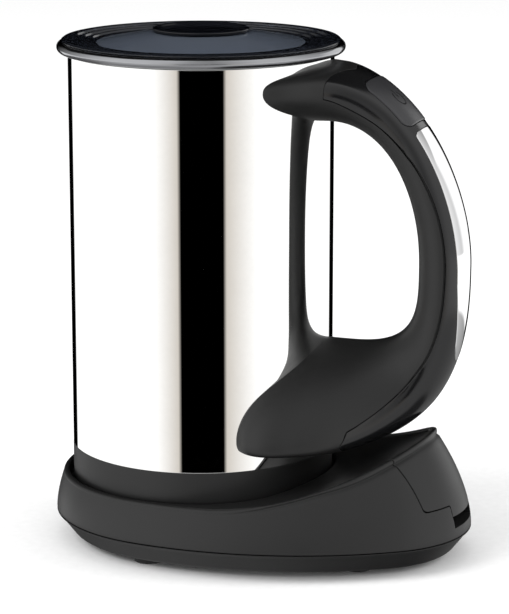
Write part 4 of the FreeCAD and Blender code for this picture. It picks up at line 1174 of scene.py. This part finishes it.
    def cover_prism(self, grow: float) -> Shape:
        """The heel cover's outline seen from behind, carried along X: a wide flap with a narrow tongue."""
        half, low, high = self.cover_half + grow, self.cover_low - grow, self.cutter_top + 2
        tongue, foot = self.slot_half + grow, self.slot_high - 0.5
        outline = softened([(half, high, 0), (half, low, 1.6), (tongue, low, 0.8), (tongue, foot, 0),
                            (-tongue, foot, 0), (-tongue, low, 0.8), (-half, low, 1.6), (-half, high, 0)])
        ends = (self.cover_front, self.cover_back)
        return capped(np.stack([np.column_stack([np.full(len(outline), x), outline]) for x in ends]))

    def cord_slot(self) -> bpy.types.Object:
        """The cutter for the slot the cord leaves by."""
        return make_mesh("slot", block((84, -self.slot_half, self.slot_low),
                                       (115, self.slot_half, self.slot_high)))

    def tray(self) -> bpy.types.Object:
        """The tray that closes the base: a wall that leans in towards the floor, with a soft lower edge."""
        high, low = self.parting - self.parting_gap, self.tray_low
        slope = self.tray_inset / (self.parting - low)
        outline = [(0.5, high), (0.12, high - 0.02), (0.02, high - 0.12), (0.03, high - 0.3)]
        outline += [(slope * (self.parting - z), z) for z in np.linspace(high - 0.7, low + 1.5, 8)]
        corner = np.array([[slope * (self.parting - low - 1.3), low + 1.3], [self.tray_inset + 0.1, low],
                           [self.tray_inset + 1.7, low]])
        outline += [tuple(point) for point in bend(*corner, 9)] + [(self.tray_inset + 2.0, low)]
        rows = [self.ring(inset, height) for inset, height in outline]
        return make_mesh("tray", capped(np.stack(rows)))

    def tray_openings(self) -> Shape:
        """Round recesses in the tray's underside for the screws and the feet."""
        shapes = []
        for places, radius, top in ((self.screw_places, self.screw_recess, self.parting - 4.9),
                                    (self.foot_places, self.foot_radius, self.tray_low + 0.6)):
            for x, y in places:
                shape = turned(np.array([[0, -1.0], [radius, -1.0], [radius, top], [0, top]]), 48)
                shape.points += np.array([x, y, 0.0])
                shapes.append(shape)
        return joined(shapes)

    def build(self) -> None:
        """Makes the shell with its cover opening and cord slot, the cover and the tray."""
        shell = self.shell()
        cover = add_object("heel_cover", shell.data.copy())
        cover.data.name = "heel_cover"
        gap, proud = self.seam / 2, -self.cutter_proud
        opening = cut(make_mesh("opening", self.skin_slab(proud, self.wall)),
                      make_mesh("outline", self.cover_prism(gap)), Cut.KEEP)
        blank = cut(make_mesh("blank", self.skin_slab(proud, self.wall - 0.1)),
                    make_mesh("outline", self.cover_prism(-gap)), Cut.KEEP)
        for piece, tool, way in ((shell, opening, Cut.AWAY), (shell, self.cord_slot(), Cut.AWAY),
                                 (cover, blank, Cut.KEEP), (cover, self.cord_slot(), Cut.AWAY)):
            cut(piece, tool, way)
        tray = cut(self.tray(), make_mesh("recesses", self.tray_openings()))
        tray.name = tray.data.name = "lower_tray"
        for piece, node in ((shell, "base_upper_shell"), (cover, "rear_cover"), (tray, "base_lower_shell")):
            dress(piece, BASE_BLACK, 38)
            settle(piece, "base", "base_plastic", node)


# ---------------------------------------------------------------- jug

@dataclass
class Jug:
    """Mirror sleeve, black skirt, steel pot with its rolled bead."""

    sleeve_radius: float = 48.0
    sleeve_wall: float = 0.6
    sleeve_low: float = 36.0
    sleeve_high: float = 179.6
    skirt_low: float = 22.5
    skirt_inner: float = 43.2
    pot_radius: float = 45.4
    pot_wall: float = 0.8
    pot_floor: float = 84.0
    bead_radius: float = 50.06
    bead_tube: float = 1.89
    bead_height: float = 181.97

    def sleeve(self) -> None:
        """The polished sleeve, with its edges just broken."""
        outer, inner = self.sleeve_radius, self.sleeve_radius - self.sleeve_wall
        outline = softened([(inner, self.sleeve_low, 0.1), (outer, self.sleeve_low, 0.2),
                            (outer, self.sleeve_high, 0.2), (inner, self.sleeve_high, 0.1)])
        settle(make_mesh("mirror_sleeve", turned(outline, 320), MIRROR_STEEL), "jug", "sleeve_steel",
               "outer_sleeve")

    def skirt(self) -> None:
        """The black ring under the steel, its lower edge rounded under."""
        outer, inner = self.sleeve_radius, self.skirt_inner
        outline = softened([
            (inner, self.skirt_low, 0.3), (outer, self.skirt_low, 4.6), (outer, self.sleeve_low, 0.25),
            (outer - 0.7, self.sleeve_low, 0), (outer - 0.7, self.sleeve_low + 4, 0.2),
            (inner, self.sleeve_low + 4, 0.2), (inner, 27, 0), (inner - 5, 27, 0.2), (inner - 5, 24.5, 0.2),
            (inner, 24.5, 0)], 14)
        settle(make_mesh("skirt_moulding", turned(outline), SOFT_BLACK), "jug", "grip_plastic", "skirt_ring")

    def pot(self) -> None:
        """The deep-drawn pot: flat floor, rounded corner, straight wall that flares out to the bead."""
        outer, inner = self.pot_radius, self.pot_radius - self.pot_wall
        neck = self.bead_radius - self.bead_tube + 0.3
        floor, top = self.pot_floor, self.bead_height
        outline = softened([
            (0, floor - self.pot_wall, 0), (outer, floor - self.pot_wall, 5.0), (outer, top - 6, 3.0),
            (neck, top - 0.6, 0), (neck, top + 0.6, 0), (inner, top - 5.0, 3.0), (inner, floor, 4.2),
            (0, floor, 0)], 14)
        settle(make_mesh("drawn_pot", turned(outline), POT_STEEL), "jug", "pot_steel", "inner_pot")

    def bead(self) -> None:
        """The rolled bead: a circle carried round the axis."""
        angle = full_turn(40)
        outline = np.column_stack([self.bead_radius + self.bead_tube * np.cos(angle),
                                   self.bead_height + self.bead_tube * np.sin(angle)])
        settle(make_mesh("rolled_bead", turned(outline, 320), SATIN_STEEL), "jug", "pot_steel")

    def build(self) -> None:
        """Makes every piece of the jug."""
        self.sleeve()
        self.skirt()
        self.pot()
        self.bead()


# ---------------------------------------------------------------- lid and whisk

@dataclass
class Lid:
    """Smoked lid with concentric steps and a flat knob."""

    bead_top: float = 183.86
    flange_radius: float = 50.0
    skirt_radius: float = 43.4
    skirt_depth: float = 9.0
    wall: float = 1.8
    knob_radius: float = 17.4
    knob_top: float = 188.6

    def dome(self) -> None:
        """The lid's clear body: flange on the bead, three steps, a shallow cone and a skirt in the pot."""
        top, flange = self.bead_top, self.flange_radius
        inner = flange - 12.5
        outline = [(inner - 0.02, top - 1.9, 0.2), (self.skirt_radius - self.wall, top - 1.9, 0.6),
                   (self.skirt_radius - self.wall, top - self.skirt_depth, 0.4),
                   (self.skirt_radius, top - self.skirt_depth, 0.4), (self.skirt_radius, top + 0.02, 0.2),
                   (flange, top + 0.02, 0.35), (flange + 0.35, top + 0.55, 0.3),
                   (flange - 0.5, top + 1.15, 0.4)]
        for step in range(3):
            edge = flange - 3.4 - 2.9 * step
            height = top + 1.2 - 0.4 * step
            outline += [(edge, height, 0.5), (edge - 0.7, height - 1.15, 0.35),
                        (edge - 1.5, height - 0.5, 0.45)]
        outline.append((inner - 0.02, top - 0.4, 0.3))
        settle(make_mesh("lid_shell", turned(softened(outline, 6)), SMOKED), "lid", "lid_plastic", "lid_dome")
        # The cone wears the paler smoked copy, whose lighter tone is painted light for the pot seen glowing
        # through it.
        cone = [(5, self.knob_top - 4.2, 0), (self.knob_radius - 1, self.knob_top - 4.2, 0.5),
                (inner, top - 1.9, 0.3), (inner, top - 0.4, 0.2), (self.knob_radius, self.knob_top - 1.6, 0.6),
                (5, self.knob_top - 1.6, 0)]
        settle(make_mesh("lid_cone", turned(softened(cone, 6), 200), SMOKED_CONE_PAINTED_LIGHT), "lid", "lid_plastic")

    def knob(self) -> None:
        """The knob: a flat disc with a raised rim, a shallow well and a stem."""
        top, edge = self.knob_top, self.knob_radius
        outline = softened([(0, top - 6, 0), (4.9, top - 6, 0.4), (4.9, top - 1.5, 0.3),
                            (edge - 0.6, top - 1.5, 0.3), (edge, top - 1.0, 0.3), (edge, top - 0.3, 0.35),
                            (edge - 0.5, top, 0.3), (edge - 2, top, 0.5), (edge - 2.8, top - 0.8, 0.8),
                            (0, top - 0.8, 0)], 7)
        settle(make_mesh("knob_disc", turned(outline, 200), KNOB_BLACK), "lid", "knob_plastic", "lid_knob")

    def build(self) -> None:
        """Makes the lid's pieces."""
        self.dome()
        self.knob()


@dataclass
class Whisk:
    """The spring coil that runs round the edge of the whisk."""

    ring_radius: float = 19.4
    coil_radius: float = 1.95
    wire_radius: float = 0.42
    height: float = 87.9
    turns: int = 46

    def build(self) -> None:
        """A wire wound round a ring: its middle line is a circle with a smaller circle turning about it."""
        angle = full_turn(self.turns * 18)
        winding = angle * self.turns
        reach = self.ring_radius + self.coil_radius * np.cos(winding)
        path = np.stack([reach * np.cos(angle), reach * np.sin(angle),
                         self.height + self.coil_radius * np.sin(winding)], -1)
        settle(make_mesh("whisk_spring", swept_wire(path, self.wire_radius, 8), COIL_WIRE), "whisk",
               "coil_steel", "whisk_coil")


# ---------------------------------------------------------------- studio

@dataclass
class Studio:
    """Pale floor, soft light and the camera."""

    camera_place: tuple = (332.24, -856.79, 299.97)
    camera_aim: tuple = (-0.33306, 0.91507, -0.22740)
    lens: float = 150.42
    sensor: float = 36.0
    front_half: float = 19.4
    fade_left: float = 44.5
    fade_right: float = 53.0
    back_start: float = 148.5
    back_end: float = 172.0
    horizon: float = -6.6
    shelf_top: float = 19.0
    floor_edge: float = -17.8
    floor_end: float = -45.0
    walls: tuple = ((75.0, 60.0), (-60.0, 52.0), (-5.0, 76.0))
    high_tones: tuple = ((-158, 0.0), (-145, 0.12), (-130, 0.3), (-115, 0.52), (-95, 0.76), (-70, 0.92),
                         (-45, 0.88), (-25, 0.76), (-8, 0.5), (10, 0.4), (25, 0.54), (50, 0.8), (75, 0.8),
                         (100, 0.58), (120, 0.42), (138, 0.24), (150, 0.1), (158, 0.0))
    shelf_tones: tuple = ((-158, 0.0), (-130, 0.3), (-95, 0.76), (-70, 0.92), (-45, 0.88), (-25, 0.76),
                          (-8, 0.5), (10, 0.4), (25, 0.54), (50, 0.8), (75, 0.8), (100, 0.6), (108, 0.56),
                          (118, 0.9), (149, 0.9), (151, 0.0))
    floor_tones: tuple = ((-180, 0.16), (-160, 0.1), (-135, 0.14), (-115, 0.24), (-95, 0.42), (-75, 0.62),
                          (-45, 0.68), (0, 0.6), (30, 0.64), (60, 0.56), (90, 0.48), (120, 0.36), (150, 0.25),
                          (163, 0.16), (168, 0.02), (180, 0.02))
    under_tones: tuple = ((-180, 0.36), (20, 0.4), (35, 0.04), (180, 0.04))
    panel_light: float = 1.25
    sky_light: float = 0.9

    def camera(self) -> None:
        """A long lens above and to the right of the handle's side."""
        data = bpy.data.cameras.new("studio_camera")
        data.lens = self.lens
        data.sensor_width = self.sensor
        data.clip_start, data.clip_end = 0.05, 60.0
        camera = add_object("studio_camera", data)
        camera.location = Vector(np.array(self.camera_place) * MM + AXIS)
        camera.rotation_mode = "QUATERNION"
        camera.rotation_quaternion = Vector(self.camera_aim).to_track_quat("-Z", "Y")
        bpy.context.scene.camera = camera

    def floor(self) -> None:
        """A wide pale floor that takes soft shadows and stays out of the polished steel."""
        grid = np.array([[x * 9000, y * 9000, -0.02] for x, y in ((-1, -1), (1, -1), (1, 1), (-1, 1))])
        mesh = bpy.data.meshes.new("studio_floor")
        mesh.from_pydata((grid * MM).tolist(), [], [[0, 1, 2, 3]])
        floor = add_object("studio_floor", mesh)
        material = bpy.data.materials.new("paper_sweep_white")
        tree = fresh_tree(material)
        place = add_node(tree, "ShaderNodeTexCoord").outputs["Object"]
        grain = add_node(tree, "ShaderNodeTexNoise", None, {"Vector": place, "Scale": 300.0})
        tone = set_stops(add_node(tree, "ShaderNodeValToRGB", None, {"Fac": grain.outputs["Fac"]}),
                         [(0.3, linear("#f6f6f6")), (0.7, linear("#fafafa"))])
        shader = add_node(tree, "ShaderNodeBsdfPrincipled", None,
                          {"Base Color": tone.outputs["Color"], "Roughness": 0.9, "Specular IOR Level": 0.0})
        add_node(tree, "ShaderNodeOutputMaterial", None, {"Surface": shader.outputs["BSDF"]})
        mesh.materials.append(material)
        floor.visible_glossy = False

    def panel(self, name: str, place: tuple, size: tuple, power: float) -> None:
        """One soft box that faces the middle of the jug and stays out of reflections.

        Args:
            name: The light's name.
            place: Its middle, in metres about the jug's axis.
            size: Its width and height, in metres.
            power: Its strength, in watts.
        """
        data = bpy.data.lights.new(name, "AREA")
        data.shape = "RECTANGLE"
        data.size, data.size_y = size
        data.energy = power
        light = add_object(name, data)
        light.location = Vector(place)
        light.rotation_mode = "QUATERNION"
        light.rotation_quaternion = (Vector((0, 0, 0.1)) - light.location).to_track_quat("-Z", "Y")
        light.visible_glossy = False

    def surroundings(self) -> None:
        """The studio as polished and moulded surfaces see it, and an even sky for everything else.

        Brightness follows the compass angle from the camera's side, in five bands of elevation: what lies
        under the product, the floor, a low ring with a dark opening in front and two narrow flags behind, a
        shelf just over the horizon, and the walls, whose top edges sink towards the back.
        """
        world = bpy.data.worlds.new("white_studio")
        bpy.context.scene.world = world
        world.cycles.sampling_method = "NONE"
        tree = fresh_tree(world)
        direction = add_node(tree, "ShaderNodeTexCoord").outputs["Generated"]
        heading = math.atan2(-self.camera_place[1], self.camera_place[0])
        turned_to = add_node(tree, "ShaderNodeVectorRotate", {"rotation_type": "Z_AXIS"},
                             {"Vector": direction, "Angle": heading})
        axes = add_node(tree, "ShaderNodeSeparateXYZ", None, {"Vector": turned_to.outputs["Vector"]})
        angle = add_node(tree, "ShaderNodeMath", {"operation": "ARCTAN2"},
                         {0: axes.outputs["Y"], 1: axes.outputs["X"]})
        share = add_node(tree, "ShaderNodeMapRange", None,
                         {"Value": angle.outputs[0], "From Min": -math.pi, "From Max": math.pi,
                          "To Min": 0.0, "To Max": 1.0}).outputs["Result"]
        dark, warm, light = (0.0, 0.0, 0.0, 1), linear("#c4beb6"), (1.0, 1.0, 1.0, 1)
        soft = 0.6
        low = self.compass(tree, share, [
            (-180, light), (-self.back_end, light), (-self.back_end + soft, dark),
            (-self.back_start - soft, dark), (-self.back_start, light), (-self.fade_left, light),
            (-self.front_half - soft, warm), (-self.front_half, dark), (self.front_half, dark),
            (self.front_half + soft, warm), (self.fade_right, light), (self.back_start, light),
            (self.back_start + soft, dark), (self.back_end - soft, dark), (self.back_end, light),
            (180, light)])
        high, shelf, floor, under = (
            self.compass(tree, share, [(angle, (tone, tone, tone, 1)) for angle, tone in tones])
            for tones in (self.high_tones, self.shelf_tones, self.floor_tones, self.under_tones))
        walled = self.walled(tree, turned_to.outputs["Vector"])
        above = add_node(tree, "ShaderNodeMix", {"data_type": "RGBA"},
                         {0: walled, 6: (0.012, 0.012, 0.012, 1), 7: high})
        whole = add_node(tree, "ShaderNodeMix", {"data_type": "RGBA"},
                         {0: self.step(tree, axes.outputs["Z"], self.floor_end, 3.0), 6: under, 7: floor})
        for edge, soft_edge, band in ((self.floor_edge, 1.5, low), (self.horizon, 1.0, shelf),
                                      (self.shelf_top, 2.0, above.outputs[2])):
            share_above = self.step(tree, axes.outputs["Z"], edge, soft_edge)
            whole = add_node(tree, "ShaderNodeMix", {"data_type": "RGBA"},
                             {0: share_above, 6: whole.outputs[2], 7: band})
        mirror = add_node(tree, "ShaderNodeBackground", None,
                          {"Color": whole.outputs[2], "Strength": self.panel_light})
        sky = add_node(tree, "ShaderNodeBackground", None,
                       {"Color": (1.0, 1.0, 1.0, 1), "Strength": self.sky_light})
        path = add_node(tree, "ShaderNodeLightPath")
        both = add_node(tree, "ShaderNodeMixShader", None,
                        {0: path.outputs["Is Glossy Ray"], 1: sky.outputs[0], 2: mirror.outputs[0]})
        add_node(tree, "ShaderNodeOutputWorld", None, {"Surface": both.outputs[0]})

    def walled(self, tree: bpy.types.NodeTree, direction: bpy.types.NodeSocket) -> bpy.types.NodeSocket:
        """One where a direction meets a wall, zero above all walls.

        A wall that faces the product and ends at height tan(top) times its distance is met where
        tan(top) * (d . n) exceeds the direction's own height, with n the level way to the wall.

        Args:
            tree: The world's node tree.
            direction: The direction looked in, turned to the camera's side.

        Returns:
            The share of wall.
        """
        met = 0.0
        for heading, top in self.walls:
            reach = math.tan(math.radians(top))
            way = (reach * math.cos(math.radians(heading)), reach * math.sin(math.radians(heading)), -1.0)
            clear = add_node(tree, "ShaderNodeVectorMath", {"operation": "DOT_PRODUCT"},
                             {0: direction, 1: way})
            inside = add_node(tree, "ShaderNodeMapRange", {"interpolation_type": "SMOOTHSTEP"},
                              {"Value": clear.outputs["Value"], "From Min": -0.04, "From Max": 0.04})
            met = add_node(tree, "ShaderNodeMath", {"operation": "MAXIMUM"},
                           {0: met, 1: inside.outputs["Result"]}).outputs[0]
        return met

    @staticmethod
    def compass(tree: bpy.types.NodeTree, share: bpy.types.NodeSocket,
                stops: list[tuple[float, tuple]]) -> bpy.types.NodeSocket:
        """A ramp over the compass angle.

        Args:
            tree: The world's node tree.
            share: The compass angle as a share of a whole turn.
            stops: Each an angle in degrees to the right of the camera's side, and a linear colour.

        Returns:
            The ramp's colour.
        """
        placed = [(0.5 + degrees / 360, colour) for degrees, colour in stops]
        return set_stops(add_node(tree, "ShaderNodeValToRGB", None, {"Fac": share}), placed).outputs["Color"]

    @staticmethod
    def step(tree: bpy.types.NodeTree, height: bpy.types.NodeSocket, degrees: float,
             soft: float) -> bpy.types.NodeSocket:
        """Zero below an elevation and one above it, with a narrow blend.

        Args:
            tree: The world's node tree.
            height: The direction's vertical part.
            degrees: The elevation.
            soft: Degrees over which it blends.

        Returns:
            The share above.
        """
        low, high = (math.sin(math.radians(degrees + side * soft / 2)) for side in (-1, 1))
        return add_node(tree, "ShaderNodeMapRange", {"interpolation_type": "SMOOTHSTEP"},
                        {"Value": height, "From Min": low, "From Max": high}).outputs["Result"]

    def build(self) -> None:
        """Sets up the camera, the floor and the light."""
        self.camera()
        self.floor()
        self.surroundings()
        self.panel("key_panel", (-1.1, -1.0, 1.5), (1.2, 1.2), 22)
        self.panel("rim_panel", (1.6, 0.6, 1.0), (0.8, 1.4), 14)
        view = bpy.context.scene.view_settings
        view.view_transform = "Standard"
        view.look = "None"


def dress_cad() -> None:
    """Gives the CAD nodes that stay their materials."""
    for name, finish in CAD_FINISHES.items():
        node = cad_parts[name]
        node.data.materials.clear()
        node.data.materials.append(finish.material())


def main() -> None:
    """Builds the frother, sub-assembly by sub-assembly, then the studio."""
    logging.basicConfig(level=logging.INFO, format="%(name)s: %(message)s")
    dress_cad()
    for part in (PowerBase(), Jug(), Handle(), Lid(), Whisk(), Studio()):
        part.build()


if __name__ == "__main__":
    main()
